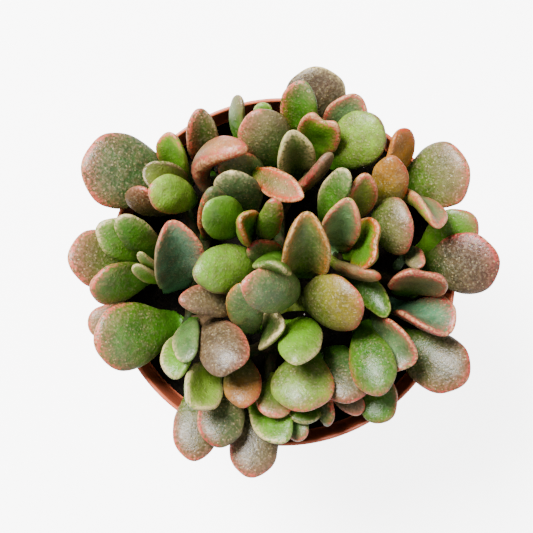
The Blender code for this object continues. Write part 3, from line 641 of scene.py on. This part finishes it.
# ---- small leaves, which find their own room between the CAD leaves ----
def drawn_in(point):
    share = 1 - point[2] / CROWN_APEX
    return np.array([point[0] * share, point[1] * share, point[2] + POT_HEIGHT])


def summed(slopes):
    steps = np.stack([np.cos(slopes), np.sin(slopes)])
    middles = (steps[:, 1:] + steps[:, :-1]) / 2
    return np.concatenate([np.zeros((2, 1)), np.cumsum(middles, axis=1)], axis=1)


def planned_rings(foot, tip, width, turn, bend, cup, thick):
    """Rings of a leaf of plain shape: a narrow base, a round end, arched and cupped."""
    foot, high, tip = drawn_in(foot), tip[2], drawn_in(tip)
    width = width * (1 - high / CROWN_APEX)
    along = unit(tip - foot)
    right = unit(np.cross(along, (0, 0, 1)))
    up = np.cross(right, along)
    roll = math.radians(turn)
    up, right = (
        up * math.cos(roll) + right * math.sin(roll),
        right * math.cos(roll) - up * math.sin(roll),
    )
    share = np.linspace(0, 1, 41)
    slopes = -math.radians(bend) * (share - 0.5)
    line = summed(slopes)
    line = line * norm(tip - foot) / line[0, -1]
    across = np.linspace(-1, 1, 61)
    rings = []
    for place in RING_PLACES:
        tilt = np.interp(place, share, slopes)
        lifted = up * math.cos(tilt) - along * math.sin(tilt)
        middle = foot + along * np.interp(place, share, line[0])
        middle = middle + up * np.interp(place, share, line[1])
        curl = math.radians(cup) / 2 * (0.35 + 0.65 * ease(2.2 * place))
        curve = summed(curl * across) / 30
        curve = curve - curve[:, 30:31]
        past = np.clip((place - 0.58) / 0.42, 0, 1)
        reach = width / 2 * (0.45 + 0.55 * ease(place / 0.58)) * math.sqrt(1 - past**2.3)
        late = np.clip(2 * place - 1, 0, 1)
        depth = thick / 2 * (0.7 + 0.3 * ease(3 * place)) * math.sqrt(1 - late**2.8)
        ring = []
        for angle in angles_round(RING_SIDES):
            side = math.cos(angle)
            sideways = np.interp(side, across, curve[0]) * reach
            rise = np.interp(side, across, curve[1]) * reach
            lean = curl * side
            outward = lifted * math.cos(lean) - right * math.sin(lean)
            point = middle + right * sideways + lifted * rise
            ring.append(point + outward * depth * math.sin(angle))
        rings.append(ring)
    return foot, np.array(rings), tip


def solid_tree(solids):
    """One search tree over the surfaces of (points, faces) pairs, in millimetres."""
    points, faces = [], []
    for some_points, some_faces in solids:
        shift = len(points)
        points += [tuple(point) for point in some_points]
        faces += [tuple(int(i) + shift for i in face) for face in some_faces]
    return BVHTree.FromPolygons(points, faces)


def pushed_clear(points, tree, gap):
    """Moves each point that is inside a solid, or nearer to it than gap, just outside."""
    moved = points.copy()
    for n, point in enumerate(points):
        near, normal, _, distance = tree.find_nearest(Vector(point), 8.0)
        if near is None:
            continue
        away = Vector(point) - near
        inside = away.dot(normal) < 0
        if inside:
            moved[n] = np.array(near + normal * gap)
        elif distance < gap:
            moved[n] = np.array(near + away.normalized() * gap)
    return moved


def settle_small(foot, rings, tip, tree):
    """The planned leaf, moved and bent a little until its surface clears the solids."""
    rest = np.concatenate([rings.reshape(-1, 3), [tip]])
    place = rest.copy()
    s = np.concatenate([np.repeat(RING_PLACES, RING_SIDES), [1.0]]) * 2 - 1
    t = np.concatenate([np.tile(np.cos(angles_round(RING_SIDES)), len(RING_PLACES)), [0.0]])
    basis = np.stack([np.ones_like(s), s, t, s * s, s * t, t * t], axis=1)
    smooth = basis @ np.linalg.pinv(basis)
    weight = np.where(s < -0.7, 3.0, 1.0)[:, None]
    for _ in range(SMALL_LEAF_STEPS):
        moved = pushed_clear(place, tree, SMALL_LEAF_GAP)
        rest_middle = (rest * weight).sum(axis=0) / weight.sum()
        moved_middle = (moved * weight).sum(axis=0) / weight.sum()
        spread = ((moved - moved_middle) * weight).T @ (rest - rest_middle)
        left, _, right = np.linalg.svd(spread)
        left[:, 2] *= np.sign(np.linalg.det(left @ right))
        stiff = (rest - rest_middle) @ (left @ right).T + moved_middle
        place = stiff + 0.85 * (smooth @ (moved - stiff))
    shift = place[:RING_SIDES].mean(axis=0) - rest[:RING_SIDES].mean(axis=0)
    return foot + shift, place[:-1].reshape(rings.shape), place[-1]


# ---- materials ----
def new_material(name):
    material = bpy.data.materials.new(name)
    material.use_nodes = True
    tree = material.node_tree
    return material, tree, tree.nodes["Principled BSDF"]


def add_node(tree, kind, **settings):
    node = tree.nodes.new("ShaderNode" + kind)
    for key, value in settings.items():
        if key in node.inputs.keys():
            node.inputs[key].default_value = value
        else:
            setattr(node, key, value)
    return node


def set_inputs(node, values):
    for name, value in values.items():
        node.inputs[name].default_value = value


def attribute(tree, name):
    return add_node(tree, "Attribute", attribute_name=name)


def place_output(tree):
    return add_node(tree, "TexCoord").outputs["Object"]


def noise_of(tree, size_mm, detail, distortion=0.0):
    """Noise with features of about this size."""
    node = add_node(tree, "TexNoise", Scale=1000 / size_mm, Detail=detail,
                    Roughness=NOISE_ROUGHNESS, Distortion=distortion)
    tree.links.new(place_output(tree), node.inputs["Vector"])
    return node.outputs["Fac"]


def mapped(tree, value, low, high, to_low=0.0, to_high=1.0):
    """The value's range low to high spread smoothly over another range."""
    node = add_node(tree, "MapRange", interpolation_type="SMOOTHSTEP")
    tree.links.new(value, node.inputs["Value"])
    set_inputs(node, {"From Min": low, "From Max": high, "To Min": to_low, "To Max": to_high})
    return node.outputs["Result"]


def feed(tree, socket, value):
    """Sets a socket to a number or a colour, or links another socket to it."""
    if isinstance(value, (int, float)):
        socket.default_value = value
    elif isinstance(value, (tuple, np.ndarray)):
        socket.default_value = (*value, 1)
    else:
        tree.links.new(value, socket)


def joined(tree, operation, first, second):
    node = add_node(tree, "Math", operation=operation)
    feed(tree, node.inputs[0], first)
    feed(tree, node.inputs[1], second)
    return node.outputs["Value"]


def times(tree, first, second):
    return joined(tree, "MULTIPLY", first, second)


def plus(tree, first, second):
    return joined(tree, "ADD", first, second)


def mixed(tree, factor, first, second):
    """A colour mix, whose colour sockets are the node's seventh and eighth."""
    node = add_node(tree, "Mix", data_type="RGBA")
    for place, value in zip((0, 6, 7), (factor, first, second)):
        feed(tree, node.inputs[place], value)
    return node.outputs[2]


def clothe(tree, shader, colour, rough, relief, strength, depth_mm):
    """Gives a shader its colour, its roughness, which is a noise's field and the values at
    that field's low and high end, and its relief, with a bump's strength and depth."""
    tree.links.new(colour, shader.inputs["Base Color"])
    field, low, high = rough
    tree.links.new(mapped(tree, field, 0.3, 0.7, low, high), shader.inputs["Roughness"])
    node = add_node(tree, "Bump", Strength=strength, Distance=depth_mm / 1000)
    tree.links.new(relief, node.inputs["Height"])
    tree.links.new(node.outputs["Normal"], shader.inputs["Normal"])


def scaled_colour(tree, colour, share):
    node = add_node(tree, "VectorMath", operation="SCALE")
    tree.links.new(colour, node.inputs[0])
    tree.links.new(share, node.inputs["Scale"])
    return node.outputs["Vector"]


def leaf_material():
    """Waxy skin: mottled, dusted with pale specks, with a broken coloured margin."""
    material, tree, shader = new_material("leaf_skin")
    skin = attribute(tree, "skin").outputs["Color"]
    rim = attribute(tree, "margin_colour").outputs["Color"]
    speckle = attribute(tree, "speckle").outputs["Fac"]
    margin = attribute(tree, "margin").outputs["Fac"]
    glow = attribute(tree, "glow").outputs["Fac"]
    broad = noise_of(tree, 5.0, 2.0)
    patches = noise_of(tree, 2.2, 3.0, 0.6)
    fine = noise_of(tree, 0.8, 4.0)
    grain = noise_of(tree, 0.35, 2.0)

    # lighter and darker fields, brown patches, pale dust and dark grains
    colour = scaled_colour(tree, skin, mapped(tree, broad, 0.3, 0.7, 0.72, 1.3))
    dusky = times(tree, mapped(tree, patches, 0.42, 0.66), speckle)
    colour = mixed(tree, times(tree, dusky, 0.4), colour, linear("brown"))
    dusty = times(tree, mapped(tree, fine, 0.46, 0.68), speckle)
    colour = mixed(tree, times(tree, dusty, 0.24), colour, linear("frost"))
    dark = times(tree, mapped(tree, grain, 0.45, 0.3), speckle)
    colour = mixed(tree, times(tree, dark, 0.6), colour, linear("deep") * 0.4)

    # the margin: a wide faint tint, a narrow strong line and a pale crest, which is partly scurf
    # and partly a painted highlight
    uneven = mapped(tree, noise_of(tree, 3.2, 2.0), 0.34, 0.55, 0.3, 1.0)
    flecked = mapped(tree, fine, 0.36, 0.6, 0.25, 1.0)
    tint = times(tree, times(tree, glow, flecked), 0.6)
    colour = mixed(tree, tint, colour, rim)
    line = times(tree, times(tree, margin, uneven), flecked)
    colour = mixed(tree, mapped(tree, line, 0.05, 0.6, 0.0, 0.95), colour, rim)

    # cream on the very edge: partly pale scurf, partly a painted highlight where the rounded margin
    # catches light
    pale_crest_and_highlight = times(tree, mapped(tree, margin, 0.72, 0.97), mapped(tree, fine, 0.4, 0.62))
    colour = mixed(tree, times(tree, pale_crest_and_highlight, 0.6), colour, linear("cream"))

    # one pale speck in some of the cells, each a millimetre wide
    specks = add_node(tree, "TexVoronoi", Scale=1000.0, Randomness=1.0)
    tree.links.new(place_output(tree), specks.inputs["Vector"])
    dot = mapped(tree, specks.outputs["Distance"], 0.36, 0.16)
    kept = mapped(tree, specks.outputs["Color"], 0.35, 0.6)
    bright = times(tree, dot, kept)
    chance = plus(tree, times(tree, speckle, 0.4), times(tree, glow, 0.25))
    colour = mixed(tree, times(tree, bright, chance), colour, linear("cream"))
    set_inputs(shader, {
        "Specular IOR Level": 0.4,
        "Subsurface Weight": 0.1,
        "Subsurface Radius": (0.6, 1.0, 0.25),
        "Subsurface Scale": 0.002,
        "Coat Weight": 0.05,
        "Coat Roughness": 0.25,
    })
    relief = plus(tree, times(tree, fine, 0.8), times(tree, bright, 0.3))
    relief = plus(tree, relief, times(tree, patches, 0.7))
    clothe(tree, shader, colour, (fine, 0.3, 0.5), relief, 0.6, 0.4)
    return material


def stem_material():
    material, tree, shader = new_material("stem_bark")
    broad = noise_of(tree, 3.0, 3.0)
    fine = noise_of(tree, 0.6, 4.0)
    colour = mixed(tree, mapped(tree, broad, 0.35, 0.65), linear("deep") * 0.5,
                   linear("brown") * 0.35)
    colour = mixed(tree, mapped(tree, fine, 0.55, 0.75, 0, 0.5), colour, linear("brown") * 0.7)
    shader.inputs["Specular IOR Level"].default_value = 0.15
    clothe(tree, shader, colour, (fine, 0.55, 0.85), fine, 0.6, 0.3)
    return material


def soil_material():
    material, tree, shader = new_material("potting_soil")
    broad = noise_of(tree, 4.0, 4.0)
    fine = noise_of(tree, 0.5, 5.0)
    # near-black soil: its own dark colour, darkened further as painted shade
    colour = mixed(tree, mapped(tree, broad, 0.35, 0.65), SOIL_WET_SHADED, SOIL_DRY_SHADED)
    colour = mixed(tree, mapped(tree, fine, 0.6, 0.74, 0, 0.5), colour, SOIL_FIBRE)
    shader.inputs["Specular IOR Level"].default_value = 0.04
    clothe(tree, shader, colour, (broad, 0.75, 1.0), fine, 0.8, 0.5)
    return material


def perlite_material():
    material, tree, shader = new_material("perlite")
    fine = noise_of(tree, 0.3, 4.0)
    colour = mixed(tree, mapped(tree, fine, 0.35, 0.65), PERLITE_GREY, PERLITE_WHITE)
    clothe(tree, shader, colour, (fine, 0.7, 0.95), fine, 0.7, 0.2)
    return material


def pot_material():
    """Moulded terracotta-coloured plastic, darker on its inside towards the soil: partly soil stain
    and partly painted shade.
    """
    material, tree, shader = new_material("terracotta_plastic")
    broad = noise_of(tree, 14.0, 3.0)
    fine = noise_of(tree, 0.7, 4.0)
    stain_and_shade = attribute(tree, "stain_and_shade").outputs["Fac"]
    colour = mixed(tree, mapped(tree, broad, 0.3, 0.7), POT_DARK, POT_LIGHT)
    colour = mixed(tree, mapped(tree, fine, 0.6, 0.8, 0, 0.2), colour, POT_GRAIN)
    # darker inside the pot, more so toward the soil: partly soil stain, partly painted shade
    uneven = times(tree, joined(tree, "SUBTRACT", broad, 0.5), 0.8)
    soiled_and_shaded = mapped(tree, plus(tree, stain_and_shade, uneven), 0.2, 0.9)
    colour = mixed(tree, times(tree, soiled_and_shaded, 0.85), colour, POT_STAIN_AND_SHADE)
    set_inputs(shader, {
        "Subsurface Weight": 0.08,
        "Subsurface Radius": (1.0, 0.4, 0.2),
        "Subsurface Scale": 0.001,
    })
    clothe(tree, shader, colour, (fine, 0.34, 0.52), fine, 0.15, 0.1)
    return material


def glow_at(tree, socket, real, seen):
    """Gives a socket one value for light that bounces and another for what the camera sees."""
    to_camera = add_node(tree, "LightPath").outputs["Is Camera Ray"]
    tree.links.new(mapped(tree, to_camera, 0.0, 1.0, real, seen), socket)


def floor_material():
    material, tree, shader = new_material("studio_floor")
    broad = noise_of(tree, 300.0, 2.0)
    colour = mixed(tree, mapped(tree, broad, 0.3, 0.7), FLOOR_GREY, FLOOR_WHITE)
    tree.links.new(colour, shader.inputs["Base Color"])
    tree.links.new(mapped(tree, broad, 0.3, 0.7, 0.75, 0.85), shader.inputs["Roughness"])
    shader.inputs["Emission Color"].default_value = (1, 1, 1, 1)
    glow_at(tree, shader.inputs["Emission Strength"], FLOOR_GLOW, FLOOR_GLOW_SEEN)
    return material


LEAF_SKIN = leaf_material()


# ---- pot ----
def rounded(corners, radius, steps=4):
    """A profile with each inner corner replaced by a small arc of this radius."""
    corners = [np.array(corner, float) for corner in corners]
    line = [corners[0]]
    for before, corner, after in zip(corners, corners[1:], corners[2:]):
        back = norm(before - corner)
        ahead = norm(after - corner)
        cut = min(radius, 0.45 * back, 0.45 * ahead)
        start = corner + (before - corner) / back * cut
        end = corner + (after - corner) / ahead * cut
        for share in np.linspace(0, 1, steps):
            rest = 1 - share
            line.append(start * rest**2 + 2 * corner * share * rest + end * share**2)
    line.append(corners[-1])
    return line


def outer_radius(height):
    body_top = POT_HEIGHT - COLLAR_HEIGHT
    top_radius = RIM_RADIUS - COLLAR_TAPER - COLLAR_STEP
    return FOOT_RADIUS + (top_radius - FOOT_RADIUS) * height / body_top


def split_long(line, longest=4.0):
    """The profile with points added where two are far apart."""
    out = [line[0]]
    for before, after in zip(line, line[1:]):
        parts = max(1, math.ceil(norm(after - before) / longest))
        for k in range(1, parts + 1):
            out.append(before + (after - before) * k / parts)
    return out


def turned(profile, sides):
    """The rings that a profile's (radius, height) points sweep round the pot's axis."""
    return [
        [(radius * math.cos(a), radius * math.sin(a), height) for a in angles_round(sides)]
        for radius, height in profile
    ]


def make_pot():
    body_top = POT_HEIGHT - COLLAR_HEIGHT
    band_foot = RIM_RADIUS - COLLAR_TAPER
    outside = [
        (GROOVE_INNER - 12, 0), (GROOVE_INNER, 0), (GROOVE_INNER + 1, GROOVE_RISE),
        (GROOVE_OUTER - 1, GROOVE_RISE), (GROOVE_OUTER, 0), (FOOT_RADIUS, 0),
        (outer_radius(body_top), body_top), (band_foot, body_top + 0.2), (RIM_RADIUS, POT_HEIGHT),
        (RIM_RADIUS - WALL, POT_HEIGHT), (band_foot - WALL, body_top + WALL + 0.4),
        (outer_radius(body_top) - WALL, body_top + WALL), (outer_radius(0) - WALL, FLOOR_THICKNESS),
        (GROOVE_OUTER + 0.8, FLOOR_THICKNESS), (GROOVE_OUTER - 0.2, FLOOR_THICKNESS + GROOVE_RISE),
        (GROOVE_INNER + 0.2, FLOOR_THICKNESS + GROOVE_RISE), (GROOVE_INNER - 0.8, FLOOR_THICKNESS),
        (GROOVE_INNER - 12, FLOOR_THICKNESS),
    ]
    line = split_long(rounded(outside, 0.55))
    rings = np.array(turned(line, POT_SIDES))
    mesh = ringed_mesh("pot_shell", rings[:, ::-1], (0, 0, 0), (0, 0, FLOOR_THICKNESS))
    pot = add_object("pot_shell", mesh, pot_material(), "pot")
    middle = (GROOVE_INNER + GROOVE_OUTER) / 2
    drills = bmesh.new()
    for k in range(DRAIN_HOLES):
        angle = 2 * math.pi * k / DRAIN_HOLES + math.pi / 48
        made = bmesh.ops.create_cone(
            drills, cap_ends=True, segments=40, depth=0.02,
            radius1=DRAIN_HOLE_RADIUS / 1000, radius2=DRAIN_HOLE_RADIUS / 1000,
        )
        at = Vector((middle * math.cos(angle), middle * math.sin(angle), 0)) / 1000
        bmesh.ops.translate(drills, verts=made["verts"], vec=at)
    apply_cut(pot, drills)
    # the inside is darkened more the deeper it lies below the rim: partly soil stain, partly
    # painted shade in the pot's hollow
    heights = np.array([vertex.co for vertex in pot.data.vertices]) * 1000
    reach = np.hypot(heights[:, 0], heights[:, 1])
    wall_inside = np.interp(heights[:, 2], [0, body_top, POT_HEIGHT],
                            [outer_radius(0), outer_radius(body_top), RIM_RADIUS]) - WALL / 2
    inside = (reach < wall_inside) & (heights[:, 2] > FLOOR_THICKNESS * 0.7)
    depth = (POT_HEIGHT - heights[:, 2]) / 12
    paint(pot.data, "stain_and_shade", np.where(inside, np.clip(0.25 + depth, 0, 1), 0.0))
    return pot


def apply_cut(target, cutter_mesh):
    """Cuts a bmesh out of an object's mesh for good."""
    data = bpy.data.meshes.new("drill")
    cutter_mesh.to_mesh(data)
    cutter_mesh.free()
    cutter = placed("drill", data)
    cut = target.modifiers.new("drill", "BOOLEAN")
    cut.operation = "DIFFERENCE"
    cut.object = cutter
    graph = bpy.context.evaluated_depsgraph_get()
    done = bpy.data.meshes.new_from_object(target.evaluated_get(graph))
    target.modifiers.clear()
    target.data = done
    bpy.data.objects.remove(cutter)


# ---- soil ----
def soil_rise(x, y):
    """Crumbly relief over the soil's smooth surface, in millimetres."""
    place = Vector((x, y, 0))
    coarse = noise.fractal(place / 7.0, 0.8, 2.2, 4) * 0.7
    clods = abs(noise.noise(place / 2.2)) * 1.1
    fine = noise.noise(place / 0.8) * 0.35
    return coarse + clods + fine - 0.5


def soil_surface(radius, edge):
    return SOIL_TOP - SOIL_CROWN * (radius / edge) ** 2


def make_soil():
    edge = min(SOIL_HIGH.x, SOIL_HIGH.y) * 1000
    body_top = POT_HEIGHT - COLLAR_HEIGHT
    floor = FLOOR_THICKNESS + 0.3
    inner = FOOT_RADIUS - WALL - 0.3
    ledge = outer_radius(body_top) - WALL
    lower = [
        (GROOVE_INNER - 1.3, floor), (GROOVE_INNER - 0.3, floor + GROOVE_RISE),
        (GROOVE_OUTER + 0.3, floor + GROOVE_RISE), (GROOVE_OUTER + 1.3, floor),
        (inner - 1.2, floor), (inner - 0.3, floor + 1.2), (ledge - 0.45, body_top + WALL),
        (ledge - 0.3, body_top + WALL + 0.6), (edge, body_top + WALL + 0.9),
    ]
    rings = turned(lower, SOIL_SIDES)
    for share in np.linspace(1, 0, SOIL_RINGS)[:-1]:
        radius = edge * share
        fade = float(ease((1 - share) * 12))
        ring = []
        for a in angles_round(SOIL_SIDES):
            x, y = radius * math.cos(a), radius * math.sin(a)
            height = soil_surface(radius, edge) + soil_rise(x, y) * fade - 0.4
            ring.append((x, y, height))
        rings.append(ring)
    mesh = ringed_mesh("soil_body", np.array(rings)[:, ::-1], (0, 0, floor), (0, 0, SOIL_TOP - 0.4))
    material = soil_material()
    add_object("soil_body", mesh, material, "soil")
    chance = np.random.default_rng(7)
    scatter("soil_crumbs", CRUMBS, (0.5, 1.7), material, chance, edge)
    scatter("perlite_bits", PERLITE_BITS, (0.5, 1.0), perlite_material(), chance, edge)


def unit_lump():
    """Points and faces of a ball."""
    ball = bmesh.new()
    bmesh.ops.create_icosphere(ball, subdivisions=2, radius=1.0)
    points = np.array([vertex.co for vertex in ball.verts])
    faces = np.array([[vertex.index for vertex in face.verts] for face in ball.faces])
    ball.free()
    return points, faces


def scatter(name, count, sizes, material, chance, edge):
    """Small irregular lumps lying on the soil, in one mesh."""
    ball, ball_faces = unit_lump()
    points, faces = [], []
    for n in range(count):
        radius = (edge - 2) * math.sqrt(chance.random())
        angle = chance.random() * 2 * math.pi
        size = chance.uniform(*sizes)
        x, y = radius * math.cos(angle), radius * math.sin(angle)
        stretch = chance.uniform(0.6, 1.2, 3)
        height = soil_surface(radius, edge) + soil_rise(x, y) * 0.9 - 0.3 + size * 0.2
        bumps = [noise.noise(Vector(point * 1.3) + Vector((n * 3.7, 0, 0))) for point in ball]
        lump = ball * stretch * (1 + 0.35 * np.array(bumps))[:, None] * size / 2
        points.append(lump + (x, y, height))
        faces.append(ball_faces + n * len(ball))
    mesh = bpy.data.meshes.new(name)
    mesh.from_pydata((np.concatenate(points) / 1000).tolist(), [], np.concatenate(faces).tolist())
    add_object(name, mesh, material)


# ---- stems ----
def make_stem(node_name):
    """The CAD stem, made round and uneven like bark, with rings where leaves once stood."""
    stem = placed(f"bark_{node_name}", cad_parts[node_name].data.copy())
    weld = stem.modifiers.new("weld", "WELD")
    weld.merge_threshold = 0.00001
    remesh = stem.modifiers.new("remesh", "REMESH")
    remesh.mode = "VOXEL"
    remesh.voxel_size = BARK_DETAIL / 1000
    smooth = stem.modifiers.new("smooth", "SMOOTH")
    smooth.iterations = 8
    graph = bpy.context.evaluated_depsgraph_get()
    mesh = bpy.data.meshes.new_from_object(stem.evaluated_get(graph))
    bpy.data.objects.remove(stem)
    mesh.materials.clear()
    for vertex in mesh.vertices:
        place = vertex.co * 1000
        rings = math.sin(place.z * 2.6 + 2 * noise.noise(place / 4)) * LEAF_SCAR
        rough = noise.noise(place / 1.1) * 0.15 + noise.noise(place / 3) * 0.2
        vertex.co = (place + vertex.normal * (rings + rough)) / 1000
    return add_object(f"bark_{node_name}", mesh, STEM_BARK, node_name)


STEM_BARK = stem_material()
stem_nodes = sorted(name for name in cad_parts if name.startswith("stem_"))
stem_points = np.concatenate([welded(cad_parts[name])[0] for name in stem_nodes])


def stem_anchor(foot):
    """A point inside the nearest stem, for a leaf's base to grow from."""
    gaps = norm(stem_points - foot, axis=1)
    nearest = stem_points[np.argsort(gaps)[:6]]
    return nearest.mean(axis=0)


def main():
    make_pot()
    make_soil()
    for name in stem_nodes:
        make_stem(name)
    solids = [welded(node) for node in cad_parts.values()]
    seed = 0
    for name in sorted(LOOKS):
        foot, rings, tip = read_leaf(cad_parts[f"leaf_{name}"])
        seed += 11
        make_leaf(name, foot, rings, tip, LOOKS[name], seed, f"leaf_{name}")
    for name, (foot, tip, width, turn, bend, cup, thick, style) in SMALL_LEAVES.items():
        foot, rings, tip = planned_rings(foot, tip, width, turn, bend, cup, thick)
        foot, rings, tip = settle_small(foot, rings, tip, solid_tree(solids))
        seed += 11
        solids.append(welded(make_leaf(name, foot, rings, tip, style, seed)))


def make_stage():
    floor_mesh = bpy.data.meshes.new("floor")
    reach = FLOOR_REACH
    corners = [(-reach, -reach, 0), (reach, -reach, 0), (reach, reach, 0), (-reach, reach, 0)]
    floor_mesh.from_pydata(corners, [], [(0, 1, 2, 3)])
    floor_mesh.materials.append(floor_material())
    floor = placed("floor", floor_mesh)
    world = bpy.data.worlds.new("studio")
    world.use_nodes = True
    sky = world.node_tree.nodes["Background"]
    sky.inputs["Color"].default_value = (1, 1, 1, 1)
    glow_at(world.node_tree, sky.inputs["Strength"], SKY_GLOW, SKY_GLOW_SEEN)
    bpy.context.scene.world = world
    for name, (place, size, power) in LIGHTS.items():
        add_light(name, place, size, power)


def add_light(name, place, size, power):
    data = bpy.data.lights.new(name, "AREA")
    data.shape = "DISK"
    data.size = size
    data.energy = power
    light = placed(name, data)
    light.location = place
    aim = Vector((0, 0, POT_HEIGHT / 1000)) - Vector(place)
    light.rotation_euler = aim.to_track_quat("-Z", "Y").to_euler()


def make_camera():
    """Straight down on the plant, so near that its perspective shows."""
    data = bpy.data.cameras.new("camera")
    data.sensor_width = SENSOR_MM
    data.lens = LENS_MM
    data.shift_x, data.shift_y = LENS_SHIFT
    data.clip_start = 0.01
    camera = placed("camera", data)
    camera.location = (0, 0, (POT_HEIGHT + CROWN_APEX) / 1000)
    bpy.context.scene.camera = camera


main()
make_stage()
make_camera()
